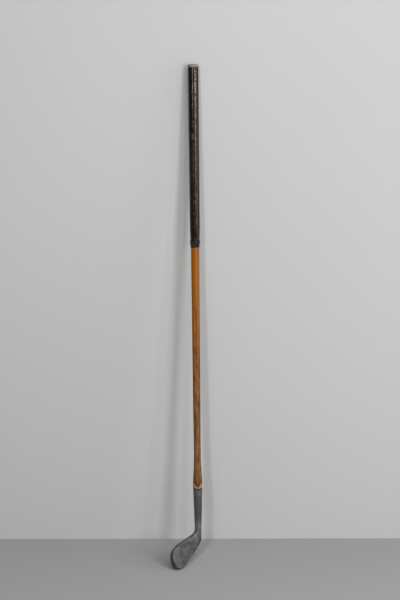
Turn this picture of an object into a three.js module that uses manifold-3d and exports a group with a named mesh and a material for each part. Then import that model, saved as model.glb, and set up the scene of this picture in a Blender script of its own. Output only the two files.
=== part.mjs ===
// Wooden-shafted golf iron: a smooth-faced, right-handed blade with a pinned hickory shaft.
//
// Lengths are millimetres. The shaft's axis is Z with the grip up, the face looks along -Y
// and the toe points along -X. While the pieces are made, heights count from the heel, the
// point where the sole line meets the shaft's axis. The finished club is then moved so that
// the middle of the hands' hold is the origin.

import * as THREE from 'three';
import { mergeVertices } from 'three/addons/utils/BufferGeometryUtils.js';
import Module from 'manifold-3d';

// Whole club
const clubLength = 940;
const holdBelowButt = 150;
const lieDegrees = 61.5;
const loftDegrees = 20;

// Fits: rigid pieces against each other, and wound layers on what they are wound on
const seatGap = 0.3;
const layerGap = 0.2;
const cutOverrun = 1;
const weldShare = 0.001;

// Hosel and its socket
const hoselHeight = 114;
const hoselRimDiameter = 18.1;
const neckDiameter = 12.9;
const hoselFullnessShare = 0.3;
const rimChamfer = 0.5;
const grooveBelowRim = 10;
const grooveWidth = 1.4;
const grooveDepth = 0.4;
const grooveWidthShares = [0.5, 0.25, -0.25, -0.5];
const grooveDepthShares = [0, 1, 1, 0];
const socketDepth = 78;
const socketMouthDiameter = 14;
const socketFloorDiameter = 8.6;

// Pin through the hosel, front to back
const pinDiameter = 2.6;
const pinBelowRim = 17.5;
const pinProud = 0.2;

// Blade, measured in the plane of the face from the heel
const bladeLength = 78;
const toeHeight = 40;
const toeTipHeight = 11;
const toeAboveTipLength = 21.5;
const toeBelowTipLength = 19;
const heelHeight = 25;
const toplineDegrees = 16;
const soleRocker = 0.8;
const leadingEdgeForward = 6.2;
const soleThickness = 16;
const toplineThickness = 8;
const leadingEdgeRadius = 1.8;
const toplineRadius = 1.6;
const soleBackRadius = 3.6;
const toeFaceRadius = 3.5;
const toeBackRadius = 1.6;
const heelEdgeRadius = 5;
const heelEdgeFade = 20;
const soleCamber = 0.6;
const backCamber = 0.7;
const neckFilletRadius = 9.4;
const neckBlend = 8;
const bladeBlend = 7;
const heelBlend = 9.5;

// Shaft
const shoulderDiameter = 18;
const flareStraight = 4;
const flareLength = 62;
const waistDiameter = 13.5;
const waistAboveRim = 111;
const gripSeatDiameter = 16.6;
const buttDiameter = 19.8;
const buttHeight = 5.7;
const buttRound = 3.5;

// Leather grip: one strip wound down from the butt over a cloth underlay
const gripLength = 334;
const gripUpperDiameter = 20.6;
const gripLowerDiameter = 19.1;
const gripSwellLength = 270;
const leatherThickness = 0.9;
const stripWidth = 24.3;
const stripSeam = 0.7;
const stripEndWidth = 2;
const stripBevel = 0.4;
const stripStartDegrees = -103;
const skiveLength = 24;
const skiveDepth = 1;
const underlayTopInset = 3;
const underlayFootInset = 36;

// Thread whipping over the leather's lower end
const threadDiameter = 0.7;
const threadSpacing = 0.42;
const whippingTurnCount = 12;
const whippingOnLeather = 7.3;

// Tacks that hold the strip's two ends
const tackHeadDiameter = 3.6;
const tackHeadHeight = 0.7;
const tackShankDiameter = 1.3;
const tackLength = 6;
const tackFromStartDegrees = 150;
const tackFromEndDegrees = 300;

// Facets
const roundSides = 48;
const smallRoundSides = 16;
const turnSteps = 24;
const threadSides = 6;
const hoselRingCount = 12;
const neckRingCount = 4;
const bendRingCount = 20;
const bladeRingCount = 12;
const toeRingCount = 14;
const toeLastDegrees = 87;
const cornerPointCount = 5;
const longSidePointCount = 4;
const shortSidePointCount = 2;

// Heights and radii that follow from the sizes above
const toRadians = Math.PI / 180;
const lie = lieDegrees * toRadians;
const loft = loftDegrees * toRadians;
const neckRadius = neckDiameter / 2;
const gripTop = clubLength - buttHeight - seatGap;
const gripFoot = gripTop - gripLength;
const waistHeight = hoselHeight + waistAboveRim;
const stripPitch = stripWidth + stripSeam;
const threadPitch = threadDiameter + threadSpacing;
const whippingTop = gripFoot + whippingOnLeather;

const wasm = await Module();
wasm.setup();

const clamp = (value, low, high) => Math.min(high, Math.max(low, value));
const mix = (from, to, share) => from + (to - from) * share;
const smooth = (share) => {
  const t = clamp(share, 0, 1);
  return t * t * (3 - 2 * t);
};

// Solids

function solidFrom(geometry) {
  const bare = geometry.clone();
  bare.deleteAttribute('normal');
  bare.deleteAttribute('uv');
  const merged = mergeVertices(bare, layerGap * weldShare);
  return new wasm.Manifold(new wasm.Mesh({
    numProp: 3,
    vertProperties: new Float32Array(merged.attributes.position.array),
    triVerts: new Uint32Array(merged.index.array),
  }));
}

function geometryFrom(solid) {
  const mesh = solid.getMesh();
  const geometry = new THREE.BufferGeometry();
  geometry.setAttribute('position', new THREE.BufferAttribute(mesh.vertProperties, 3));
  geometry.setIndex(new THREE.BufferAttribute(mesh.triVerts, 1));
  geometry.computeVertexNormals();
  return geometry;
}

function cut(geometry, tools) {
  let solid = solidFrom(geometry);
  for (const tool of tools) solid = solid.subtract(solidFrom(tool));
  return geometryFrom(solid);
}

// Closed skin over a row of rings with equally many points, capped at both ends. Seen from
// the end that the row runs towards, each ring goes anticlockwise.
function skin(rings) {
  const sides = rings[0].length;
  const positions = [];
  const index = [];
  const push = (point) => {
    positions.push(point.x, point.y, point.z);
    return positions.length / 3 - 1;
  };
  const rows = rings.map((ring) => ring.map(push));
  for (let row = 0; row + 1 < rows.length; row++) {
    for (let side = 0; side < sides; side++) {
      const next = (side + 1) % sides;
      const [a, b] = [rows[row][side], rows[row][next]];
      const [c, d] = [rows[row + 1][next], rows[row + 1][side]];
      index.push(a, b, c, a, c, d);
    }
  }
  const cap = (ring, row, outward) => {
    const middle = new THREE.Vector3();
    for (const point of ring) middle.addScaledVector(point, 1 / sides);
    const hub = push(middle);
    for (let side = 0; side < sides; side++) {
      const next = (side + 1) % sides;
      index.push(...(outward ? [hub, row[side], row[next]] : [hub, row[next], row[side]]));
    }
  };
  cap(rings[0], rows[0], false);
  cap(rings[rings.length - 1], rows[rows.length - 1], true);
  const geometry = new THREE.BufferGeometry();
  geometry.setAttribute('position', new THREE.Float32BufferAttribute(positions, 3));
  geometry.setIndex(index);
  return geometry;
}

// Body of revolution about Z from [radius, height] pairs that run upwards
function turned(profile, sides = roundSides) {
  const points = profile.map(([radius, height]) => new THREE.Vector2(radius, height));
  return new THREE.LatheGeometry(points, sides).rotateX(Math.PI / 2);
}

// Round bar between two heights on an axis that is later turned and placed
function bar(radius, from, to, sides = smallRoundSides) {
  return turned([[0, from], [radius, from], [radius, to], [0, to]], sides);
}

// Shapes that several pieces share

function hoselRadius(height) {
  const share = clamp((height - neckHeight) / (hoselHeight - neckHeight), 0, 1);
  const full = share + hoselFullnessShare * share * (1 - share);
  return mix(neckRadius, hoselRimDiameter / 2, full);
}

function shaftRadius(height) {
  const waist = waistDiameter / 2;
  if (height > waistHeight) {
    const share = clamp((height - waistHeight) / (gripTop - waistHeight), 0, 1);
    return mix(waist, gripSeatDiameter / 2, Math.sqrt(share));
  }
  const flareShare = 1 - (height - hoselHeight - flareStraight) / flareLength;
  return mix(waist, shoulderDiameter / 2, smooth(flareShare));
}

function gripRadius(height) {
  const swell = clamp((height - gripFoot) / gripSwellLength, 0, 1);
  return mix(gripLowerDiameter, gripUpperDiameter, swell) / 2;
}

// The leather's outside, thinned towards its lower end
function leatherRadius(height) {
  const skive = clamp(1 - (height - gripFoot) / skiveLength, 0, 1);
  return gripRadius(height) - skiveDepth * skive;
}

// Neck and blade: a row of sections that starts as the neck's circle, turns about a point
// above the topline through the lie angle, and runs on to the toe as the blade's wedge.

const toeStart = bladeLength - toeAboveTipLength;
const bendLength = lie * (neckFilletRadius + neckRadius);
const alongSole = new THREE.Vector3(-Math.sin(lie), 0, -Math.cos(lie));
const upFromSole = new THREE.Vector3(-Math.cos(lie), 0, Math.sin(lie));
const forward = new THREE.Vector3(0, -1, 0);

// Where the sections turn. The topline leaves the neck's fillet at its own slope.
const toplineSlope = toplineDegrees * toRadians;
const pivotDepth = heelHeight * Math.cos(loft) + neckFilletRadius / Math.cos(toplineSlope);
const pivotX = -(neckRadius + neckFilletRadius);
const neckHeight = (pivotDepth + pivotX * Math.cos(lie)) / Math.sin(lie);
const pivot = new THREE.Vector3(pivotX, 0, neckHeight);
const bladeStart = pivot.dot(alongSole);

function wedgeDepth(height) {
  return mix(soleThickness, toplineThickness, clamp(height / toeHeight, 0, 1));
}

// Rounded corner between two unit directions that lead away from it
function corner(point, radius, before, after) {
  const points = [];
  for (let step = 0; step < cornerPointCount; step++) {
    const angle = (step / (cornerPointCount - 1)) * Math.PI / 2;
    points.push(point.clone()
      .addScaledVector(before, radius * (1 - Math.sin(angle)))
      .addScaledVector(after, radius * (1 - Math.cos(angle))));
  }
  return points;
}

function between(from, to, count, bulge) {
  const points = [];
  for (let step = 1; step <= count; step++) {
    const share = step / (count + 1);
    points.push(from.clone().lerp(to, share).addScaledVector(bulge, 4 * share * (1 - share)));
  }
  return points;
}

// How far an edge of this radius has already turned in from the toe's tip
function toeInset(along, radius) {
  const into = clamp(along - (bladeLength - radius), 0, radius);
  return radius - Math.sqrt(radius ** 2 - into ** 2);
}

// Wedge section: x runs up the face and y is the depth behind it. The face's edges are
// rounder at the heel and at the toe.
function wedgeSection(along, low, high) {
  const heelShare = 1 - smooth((along - bladeStart) / heelEdgeFade);
  const toeShare = smooth((along - toeStart) / toeAboveTipLength);
  const faceInset = toeInset(along, toeFaceRadius);
  const backInset = toeInset(along, toeBackRadius);
  const topFace = new THREE.Vector2(high, faceInset);
  const lowFace = new THREE.Vector2(low, faceInset);
  const lowBack = new THREE.Vector2(low, wedgeDepth(low) - backInset);
  const topBack = new THREE.Vector2(high, wedgeDepth(high) - backInset);
  const up = new THREE.Vector2(1, 0);
  const down = new THREE.Vector2(-1, 0);
  const back = new THREE.Vector2(0, 1);
  const front = new THREE.Vector2(0, -1);
  const rise = topBack.clone().sub(lowBack).normalize();
  const fall = rise.clone().negate();
  const limit = (high - low) / 3;
  const topLimit = Math.min(limit, (topBack.y - topFace.y) / 2);
  const faceRadius = (plain, most) => Math.min(
    mix(mix(plain, toeFaceRadius, toeShare), heelEdgeRadius, heelShare),
    most,
  );
  const cornerTopFace = corner(topFace, faceRadius(toplineRadius, topLimit), back, down);
  const cornerLowFace = corner(lowFace, faceRadius(leadingEdgeRadius, limit), up, back);
  const cornerLowBack = corner(lowBack, Math.min(soleBackRadius, limit), front, rise);
  const cornerTopBack = corner(topBack, Math.min(toplineRadius, topLimit), fall, front);
  const noBulge = new THREE.Vector2(0, 0);
  const last = (points) => points[points.length - 1];
  const fullness = (high - low) / toeHeight;
  const soleBulge = down.clone().multiplyScalar(soleCamber * fullness);
  const backBulge = back.clone().multiplyScalar(backCamber * fullness);
  const topMiddle = between(last(cornerTopBack), cornerTopFace[0], shortSidePointCount, noBulge);
  const half = shortSidePointCount / 2;
  return [
    ...topMiddle.slice(half),
    ...cornerTopFace,
    ...between(last(cornerTopFace), cornerLowFace[0], longSidePointCount, noBulge),
    ...cornerLowFace,
    ...between(last(cornerLowFace), cornerLowBack[0], shortSidePointCount, soleBulge),
    ...cornerLowBack,
    ...between(last(cornerLowBack), cornerTopBack[0], longSidePointCount, backBulge),
    ...cornerTopBack,
    ...topMiddle.slice(0, half),
  ];
}

// Round section on the same points, as high as the wedge and as deep as the neck
function roundSection(low, high, radius) {
  const count = 4 * cornerPointCount + 2 * longSidePointCount + 2 * shortSidePointCount;
  const points = [];
  for (let step = 0; step < count; step++) {
    const angle = ((step + 0.5) / count) * 2 * Math.PI;
    points.push(new THREE.Vector2(
      mix(low, high, (1 + Math.cos(angle)) / 2),
      radius * (1 - Math.sin(angle)),
    ));
  }
  return points;
}

// Section of neck or blade. The point lies on the neck's outer side or on the sole line, and low
// and high are distances from it along rising. The section is the neck's round where share is 0,
// and the wedge, leaned back to the loft, where share is 1.
function placeSection({ point, rising, low, high, radius, share, along }) {
  const twist = loft * share;
  const upFace = rising.clone().multiplyScalar(Math.cos(twist))
    .addScaledVector(forward, -Math.sin(twist));
  const outFace = forward.clone().multiplyScalar(Math.cos(twist))
    .addScaledVector(rising, Math.sin(twist));
  const origin = point.clone().addScaledVector(forward, mix(radius, leadingEdgeForward, share));
  const [leanLow, leanHigh] = [low / Math.cos(twist), high / Math.cos(twist)];
  const round = roundSection(leanLow, leanHigh, radius);
  const wedge = share > 0 ? wedgeSection(along, leanLow, leanHigh) : round;
  return round.map((spot, i) => {
    const { x, y } = spot.lerp(wedge[i], share);
    return origin.clone().addScaledVector(upFace, x).addScaledVector(outFace, -y);
  });
}

function hoselRings() {
  const rimRadius = hoselRimDiameter / 2;
  const grooveMiddle = hoselHeight - grooveBelowRim;
  const rows = [
    [rimRadius - rimChamfer, hoselHeight],
    [hoselRadius(hoselHeight - rimChamfer), hoselHeight - rimChamfer],
  ];
  grooveWidthShares.forEach((widthShare, i) => {
    const height = grooveMiddle + widthShare * grooveWidth;
    rows.push([hoselRadius(height) - grooveDepthShares[i] * grooveDepth, height]);
  });
  const plainTop = grooveMiddle - grooveWidth;
  for (let ring = 0; ring < hoselRingCount; ring++) {
    const height = mix(plainTop, neckHeight + neckBlend, ring / hoselRingCount);
    rows.push([hoselRadius(height), height]);
  }
  return rows.map(([radius, height]) => placeSection({
    point: new THREE.Vector3(radius, 0, height),
    rising: new THREE.Vector3(-1, 0, 0),
    low: 0,
    high: 2 * radius,
    radius,
    share: 0,
  }));
}

// Distance from the pivot to the neck's outer side and then to the sole line, blended at the heel
function outerReach(turn) {
  const toNeck = (neckRadius - pivotX) / Math.cos(turn);
  const toSole = pivotDepth / Math.cos(lie - turn);
  const near = clamp(1 - Math.abs(toNeck - toSole) / heelBlend, 0, 1);
  return Math.min(toNeck, toSole) - near * near * heelBlend / 4;
}

// Distance from the pivot to the fillet and then to the straight start of the topline
function innerReach(turn) {
  const past = Math.max(0, turn - (lie - toplineSlope));
  return neckFilletRadius / Math.cos(past);
}

// The round neck becomes the wedge over its last straight stretch, the bend and the first
// stretch of the blade
function wedgeShare(run) {
  return smooth(run / (neckBlend + bendLength + bladeBlend));
}

function neckRings() {
  const stations = [];
  for (let ring = 0; ring < neckRingCount; ring++) {
    stations.push({ lift: neckBlend * (1 - ring / neckRingCount), turn: 0 });
  }
  for (let ring = 0; ring < bendRingCount; ring++) {
    stations.push({ lift: 0, turn: lie * ring / bendRingCount });
  }
  return stations.map(({ lift, turn }) => {
    const radius = hoselRadius(neckHeight + lift);
    const taper = radius - neckRadius;
    const rising = new THREE.Vector3(-Math.cos(turn), 0, Math.sin(turn));
    const outer = outerReach(turn) + taper;
    const point = pivot.clone().addScaledVector(rising, -outer);
    point.z += lift;
    return placeSection({
      point,
      rising,
      low: 0,
      high: outer - innerReach(turn) + taper,
      radius,
      share: wedgeShare(neckBlend - lift + bendLength * turn / lie),
      along: bladeStart,
    });
  });
}

// Edges of the face at a place along the sole. Each ends in a quarter ellipse, and these meet
// at the toe's tip.
function lowEdge(along) {
  const roundStart = bladeLength - toeBelowTipLength;
  const run = clamp((along - bladeStart) / (roundStart - bladeStart), 0, 1);
  const round = clamp((along - roundStart) / toeBelowTipLength, 0, 1);
  return mix(toeTipHeight, -soleRocker * run * (2 - run), Math.sqrt(1 - round ** 2));
}

function highEdge(along) {
  const run = clamp((along - bladeStart) / (toeStart - bladeStart), 0, 1);
  const round = clamp((along - toeStart) / toeAboveTipLength, 0, 1);
  const rise = (toeStart - bladeStart) * Math.tan(toplineSlope) * run * (1 - run) ** 2;
  const topline = mix(heelHeight, toeHeight, smooth(run)) + rise;
  return mix(toeTipHeight, topline, Math.sqrt(1 - round ** 2));
}

function bladeRings() {
  const places = [];
  for (let ring = 0; ring < bladeRingCount; ring++) {
    places.push(mix(bladeStart, toeStart, ring / bladeRingCount));
  }
  for (let ring = 0; ring <= toeRingCount; ring++) {
    const angle = (ring / toeRingCount) * toeLastDegrees * toRadians;
    places.push(toeStart + toeAboveTipLength * Math.sin(angle));
  }
  return places.map((along) => placeSection({
    point: alongSole.clone().multiplyScalar(along),
    rising: upFromSole,
    low: lowEdge(along) * Math.cos(loft),
    high: highEdge(along) * Math.cos(loft),
    radius: neckRadius,
    share: wedgeShare(neckBlend + bendLength + along - bladeStart),
    along,
  }));
}

function ironHead() {
  const socketFloor = hoselHeight - socketDepth;
  const mouth = socketMouthDiameter / 2;
  const socket = turned([
    [0, socketFloor],
    [socketFloorDiameter / 2, socketFloor],
    [mouth, hoselHeight],
    [mouth, hoselHeight + cutOverrun],
    [0, hoselHeight + cutOverrun],
  ]);
  const outside = skin([...hoselRings(), ...neckRings(), ...bladeRings()].reverse());
  return cut(outside, [socket, pinBore()]);
}

// The pin and its bore lie along the club's front-to-back line

const pinHeight = hoselHeight - pinBelowRim;

function hoselPin() {
  const reach = hoselRadius(pinHeight) + pinProud;
  const radius = pinDiameter / 2;
  const peened = radius - pinProud;
  const profile = [[0, -reach], [peened, -reach], [radius, pinProud - reach],
    [radius, reach - pinProud], [peened, reach], [0, reach]];
  return turned(profile, smallRoundSides).rotateX(Math.PI / 2).translate(0, 0, pinHeight);
}

function pinBore() {
  const reach = hoselRimDiameter / 2 + cutOverrun;
  return bar(pinDiameter / 2 + seatGap, -reach, reach)
    .rotateX(Math.PI / 2).translate(0, 0, pinHeight);
}

// Shaft: a tapered spigot in the socket, a flared shoulder on the rim, a waist, a long
// taper to the grip and a rounded butt that stands above the leather

function hickoryShaft() {
  const spigotFoot = hoselHeight - socketDepth + seatGap;
  const spigotTop = hoselHeight + seatGap;
  const profile = [
    [0, spigotFoot],
    [socketFloorDiameter / 2 - seatGap, spigotFoot],
    [socketMouthDiameter / 2 - seatGap, hoselHeight],
    [socketMouthDiameter / 2 - seatGap, spigotTop],
    [shoulderDiameter / 2, spigotTop],
  ];
  const flareEnd = spigotTop + flareStraight;
  const flareStepCount = 10;
  for (let step = 0; step <= flareStepCount; step++) {
    const height = mix(flareEnd, flareEnd + flareLength, step / flareStepCount);
    profile.push([shaftRadius(height), height]);
  }
  const taperStepCount = 14;
  for (let step = 0; step <= taperStepCount; step++) {
    const share = step / taperStepCount;
    const height = mix(waistHeight, gripTop, share * share);
    profile.push([shaftRadius(height), height]);
  }
  const lip = gripTop + seatGap;
  const buttRadius = buttDiameter / 2;
  profile.push([shaftRadius(lip), lip], [buttRadius, lip]);
  const roundStepCount = 5;
  for (let step = 0; step <= roundStepCount; step++) {
    const angle = (step / roundStepCount) * Math.PI / 2;
    profile.push([
      buttRadius - buttRound * (1 - Math.cos(angle)),
      clubLength - buttRound * (1 - Math.sin(angle)),
    ]);
  }
  profile.push([0, clubLength]);
  return cut(turned(profile), [pinBore(), ...tackPlaces().map(tackBore)]);
}

// Cloth sleeve that fills the space between the shaft and the leather

function gripUnderlay() {
  const top = gripTop - underlayTopInset;
  const foot = gripFoot + underlayFootInset;
  const stepCount = 8;
  const outer = [];
  const inner = [];
  for (let step = 0; step <= stepCount; step++) {
    const height = mix(foot, top, step / stepCount);
    outer.push([gripRadius(height) - leatherThickness - layerGap, height]);
    inner.push([shaftRadius(height) + layerGap, height]);
  }
  const profile = [...outer, ...inner.reverse(), outer[0]];
  return cut(turned(profile), tackPlaces().map(tackBore));
}

// Leather: one flat strip with bevelled edges, cut to a point at both ends so that the
// finished grip is square to the shaft

const stripStart = stripStartDegrees * toRadians;
const stripFirstMiddle = gripTop - stripEndWidth + stripWidth / 2;
const stripLastMiddle = gripFoot + stripEndWidth - stripWidth / 2;
const stripTurns = (stripFirstMiddle - stripLastMiddle) / stripPitch;

// Upper and lower edge of the strip after so many turns
function stripEdges(turns) {
  const middle = stripFirstMiddle - stripPitch * turns;
  return [
    Math.min(gripTop, middle + stripWidth / 2),
    Math.max(gripFoot, middle - stripWidth / 2),
  ];
}

function around(radius, angle, height) {
  return new THREE.Vector3(radius * Math.cos(angle), radius * Math.sin(angle), height);
}

function leatherGrip() {
  const steps = Math.ceil(stripTurns * turnSteps);
  const rings = [];
  for (let step = 0; step <= steps; step++) {
    const turns = stripTurns * step / steps;
    const [upper, lower] = stripEdges(turns);
    const angle = stripStart + turns * 2 * Math.PI;
    const inner = (height) => Math.max(
      leatherRadius(height) - leatherThickness,
      shaftRadius(height) + layerGap,
    );
    const corners = [
      [inner(lower), lower],
      [inner(upper), upper],
      [leatherRadius(upper) - stripBevel / 2, upper],
      [leatherRadius(upper - stripBevel), upper - stripBevel],
      [leatherRadius(lower + stripBevel), lower + stripBevel],
      [leatherRadius(lower) - stripBevel / 2, lower],
    ];
    rings.push(corners.map(([radius, height]) => around(radius, angle, height)));
  }
  printSelfGap('leather strip', rings);
  return cut(skin(rings), tackPlaces().map(tackBore));
}

// Whipping: one thread that winds down over the leather's end and steps onto the wood

function threadRadiusAt(height) {
  const half = threadDiameter / 2;
  const onLeather = leatherRadius(Math.max(height, gripFoot)) + layerGap + half;
  const onWood = shaftRadius(height) + layerGap + half;
  const stepTop = gripFoot - half;
  return mix(onLeather, onWood, smooth((stepTop - height) / threadPitch));
}

function lowerWhipping() {
  const half = threadDiameter / 2;
  const steps = whippingTurnCount * turnSteps;
  const rings = [];
  for (let step = 0; step <= steps; step++) {
    const turns = step / turnSteps;
    const middle = whippingTop - half - threadPitch * turns;
    const ring = [];
    for (let side = 0; side < threadSides; side++) {
      const angle = (side / threadSides) * 2 * Math.PI;
      const radius = threadRadiusAt(middle) + half * Math.cos(angle);
      const height = middle - half * Math.sin(angle);
      ring.push(around(radius, turns * 2 * Math.PI, height));
    }
    rings.push(ring);
  }
  printSelfGap('whipping thread', rings);
  const runOn = (ring, beside) => {
    const along = ring[0].clone().sub(beside[0]).setZ(0).setLength(threadDiameter);
    return ring.map((point) => point.clone().add(along));
  };
  const first = runOn(rings[0], rings[1]);
  const last = runOn(rings[steps], rings[steps - 1]);
  return skin([first, ...rings, last]);
}

// Least distance between points of neighbouring turns
function printSelfGap(name, rings) {
  let least = Infinity;
  for (let ring = 0; ring + turnSteps / 2 < rings.length; ring++) {
    const near = ring + turnSteps / 2;
    const far = Math.min(rings.length, ring + turnSteps * 2);
    for (let other = near; other < far; other++) {
      for (const point of rings[ring]) {
        for (const facing of rings[other]) least = Math.min(least, point.distanceTo(facing));
      }
    }
  }
  console.log(`${name}: least gap between turns ${least.toFixed(2)} mm`);
}

// Tacks, one through each end of the strip, both with the head on the leather

function tackPlaces() {
  const startTurns = tackFromStartDegrees / 360;
  const endTurns = stripTurns - tackFromEndDegrees / 360;
  const [startUpper, startLower] = stripEdges(startTurns);
  const [endUpper] = stripEdges(endTurns);
  return [
    { turns: startTurns, height: (startUpper + startLower) / 2 },
    { turns: endTurns, height: (endUpper + whippingTop) / 2 },
  ];
}

function onTackAxis(geometry, place) {
  return geometry.rotateY(Math.PI / 2)
    .rotateZ(stripStart + place.turns * 2 * Math.PI)
    .translate(0, 0, place.height);
}

function tackBore(place) {
  const outside = gripUpperDiameter / 2 + cutOverrun;
  const inside = leatherRadius(place.height) + layerGap - tackLength - seatGap;
  return onTackAxis(bar(tackShankDiameter / 2 + seatGap, inside, outside), place);
}

function gripTack(place) {
  const seat = leatherRadius(place.height) + layerGap;
  const shank = tackShankDiameter / 2;
  const point = seat - tackLength;
  const profile = [[0, point], [shank, point + tackShankDiameter], [shank, seat]];
  const domeStepCount = 4;
  for (let step = 0; step <= domeStepCount; step++) {
    const angle = (step / domeStepCount) * Math.PI / 2;
    profile.push([tackHeadDiameter / 2 * Math.cos(angle), seat + tackHeadHeight * Math.sin(angle)]);
  }
  profile[profile.length - 1][0] = 0;
  return onTackAxis(turned(profile, smallRoundSides), place);
}

// Scene graph

const club = new THREE.Group();
club.position.z = holdBelowButt - clubLength;

function add(name, geometry, color, roughness, metalness) {
  const mesh = new THREE.Mesh(geometry, new THREE.MeshStandardMaterial({ color, roughness, metalness }));
  mesh.name = name;
  club.add(mesh);
}

add('iron_head', ironHead(), 0x6f6d68, 0.42, 1);
add('hosel_pin', hoselPin(), 0x8c8a84, 0.35, 1);
add('hickory_shaft', hickoryShaft(), 0x9a5f2b, 0.38, 0);
add('grip_underlay', gripUnderlay(), 0x4a4238, 0.95, 0);
add('leather_grip', leatherGrip(), 0x3a2218, 0.4, 0);
add('lower_whipping', lowerWhipping(), 0x23262b, 0.6, 0);
const [startPlace, endPlace] = tackPlaces();
add('butt_tack', gripTack(startPlace), 0x9b7f45, 0.4, 1);
add('lower_tack', gripTack(endPlace), 0x9b7f45, 0.4, 1);

export default club;
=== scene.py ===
import math

import bpy
from mathutils import Euler, Matrix, Vector, noise


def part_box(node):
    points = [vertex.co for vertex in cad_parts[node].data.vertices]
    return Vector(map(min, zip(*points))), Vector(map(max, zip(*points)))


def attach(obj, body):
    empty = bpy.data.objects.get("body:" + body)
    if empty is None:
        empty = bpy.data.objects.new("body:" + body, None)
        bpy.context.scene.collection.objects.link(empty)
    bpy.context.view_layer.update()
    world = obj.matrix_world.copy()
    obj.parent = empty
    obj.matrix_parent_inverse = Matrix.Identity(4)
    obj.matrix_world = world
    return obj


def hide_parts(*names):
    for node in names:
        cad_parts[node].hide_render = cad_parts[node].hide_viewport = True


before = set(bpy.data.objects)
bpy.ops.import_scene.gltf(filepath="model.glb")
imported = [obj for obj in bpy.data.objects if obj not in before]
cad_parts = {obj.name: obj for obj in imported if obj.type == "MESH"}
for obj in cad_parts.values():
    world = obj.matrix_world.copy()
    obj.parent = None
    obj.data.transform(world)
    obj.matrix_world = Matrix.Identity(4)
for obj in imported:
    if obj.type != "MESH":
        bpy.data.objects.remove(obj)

bl_info = {
    "name": "Wooden-shafted iron",
    "version": (1, 0, 0),
    "blender": (4, 5, 0),
    "location": "3D View > Sidebar > Club",
    "description": "Dresses a packed golf club with forged iron, hickory, wound leather and thread",
    "category": "Add Mesh",
}


def heights_of(node):
    """Lowest and highest z of a CAD node"""
    low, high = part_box(node)
    return low.z, high.z


# Places taken from the frame. The shaft's axis is Z, the face looks along -Y, the toe is at -X.
HEAD_FOOT, HOSEL_TOP = heights_of("iron_head")
GRIP_FOOT, GRIP_TOP = heights_of("leather_grip")
WHIPPING_FOOT, WHIPPING_TOP = heights_of("lower_whipping")
BUTT_END = heights_of("hickory_shaft")[1]
PIN_LOW, PIN_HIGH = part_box("hosel_pin")
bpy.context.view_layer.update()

TURN = 2 * math.pi

# Lamps round the club: name, degrees from the camera's side to the right, distance from the
# shaft, width, height and height of the middle in metres, and power in watts
LAMPS = (
    ("left_glint", -21, 2.6, 0.09, 0.18, 0.19, 1.8),
    ("right_glint", 47, 2.6, 0.1, 0.12, 0.17, 4.2),
    ("left_strip", -14, 2.6, 0.2, 1.4, 0.85, 20),
    ("near_strip", 18, 2.6, 0.12, 1.0, 0.72, 7),
    ("right_strip", 34, 2.6, 0.5, 1.6, 0.55, 30),
    ("right_soft", 72, 2.6, 0.9, 1.9, 0.2, 16),
    ("top_soft", 15, 1.6, 1.6, 1.6, 1.9, 17),
)
# All lamps point at this part of the club's height
LAMP_TARGET = 0.6
# The world's light, what the camera sees of it, and the tone of faint clouds on the stage
WORLD_STRENGTH = 0.15
WORLD_SEEN = (0.6, 0.605, 0.6, 1)
STAGE_CLOUD = (0.3, 0.3, 0.3)


def length(name, description, default):
    return bpy.props.FloatProperty(
        name=name, description=description, default=default, unit="LENGTH", precision=5
    )


def angle(name, description, degrees):
    return bpy.props.FloatProperty(
        name=name, description=description, default=math.radians(degrees), subtype="ANGLE"
    )


def share(name, description, default):
    return bpy.props.FloatProperty(
        name=name, description=description, default=default, min=0, max=1, subtype="FACTOR"
    )


def colour(name, description, default):
    return bpy.props.FloatVectorProperty(
        name=name, description=description, default=default, size=3, min=0, max=1, subtype="COLOR"
    )


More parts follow.
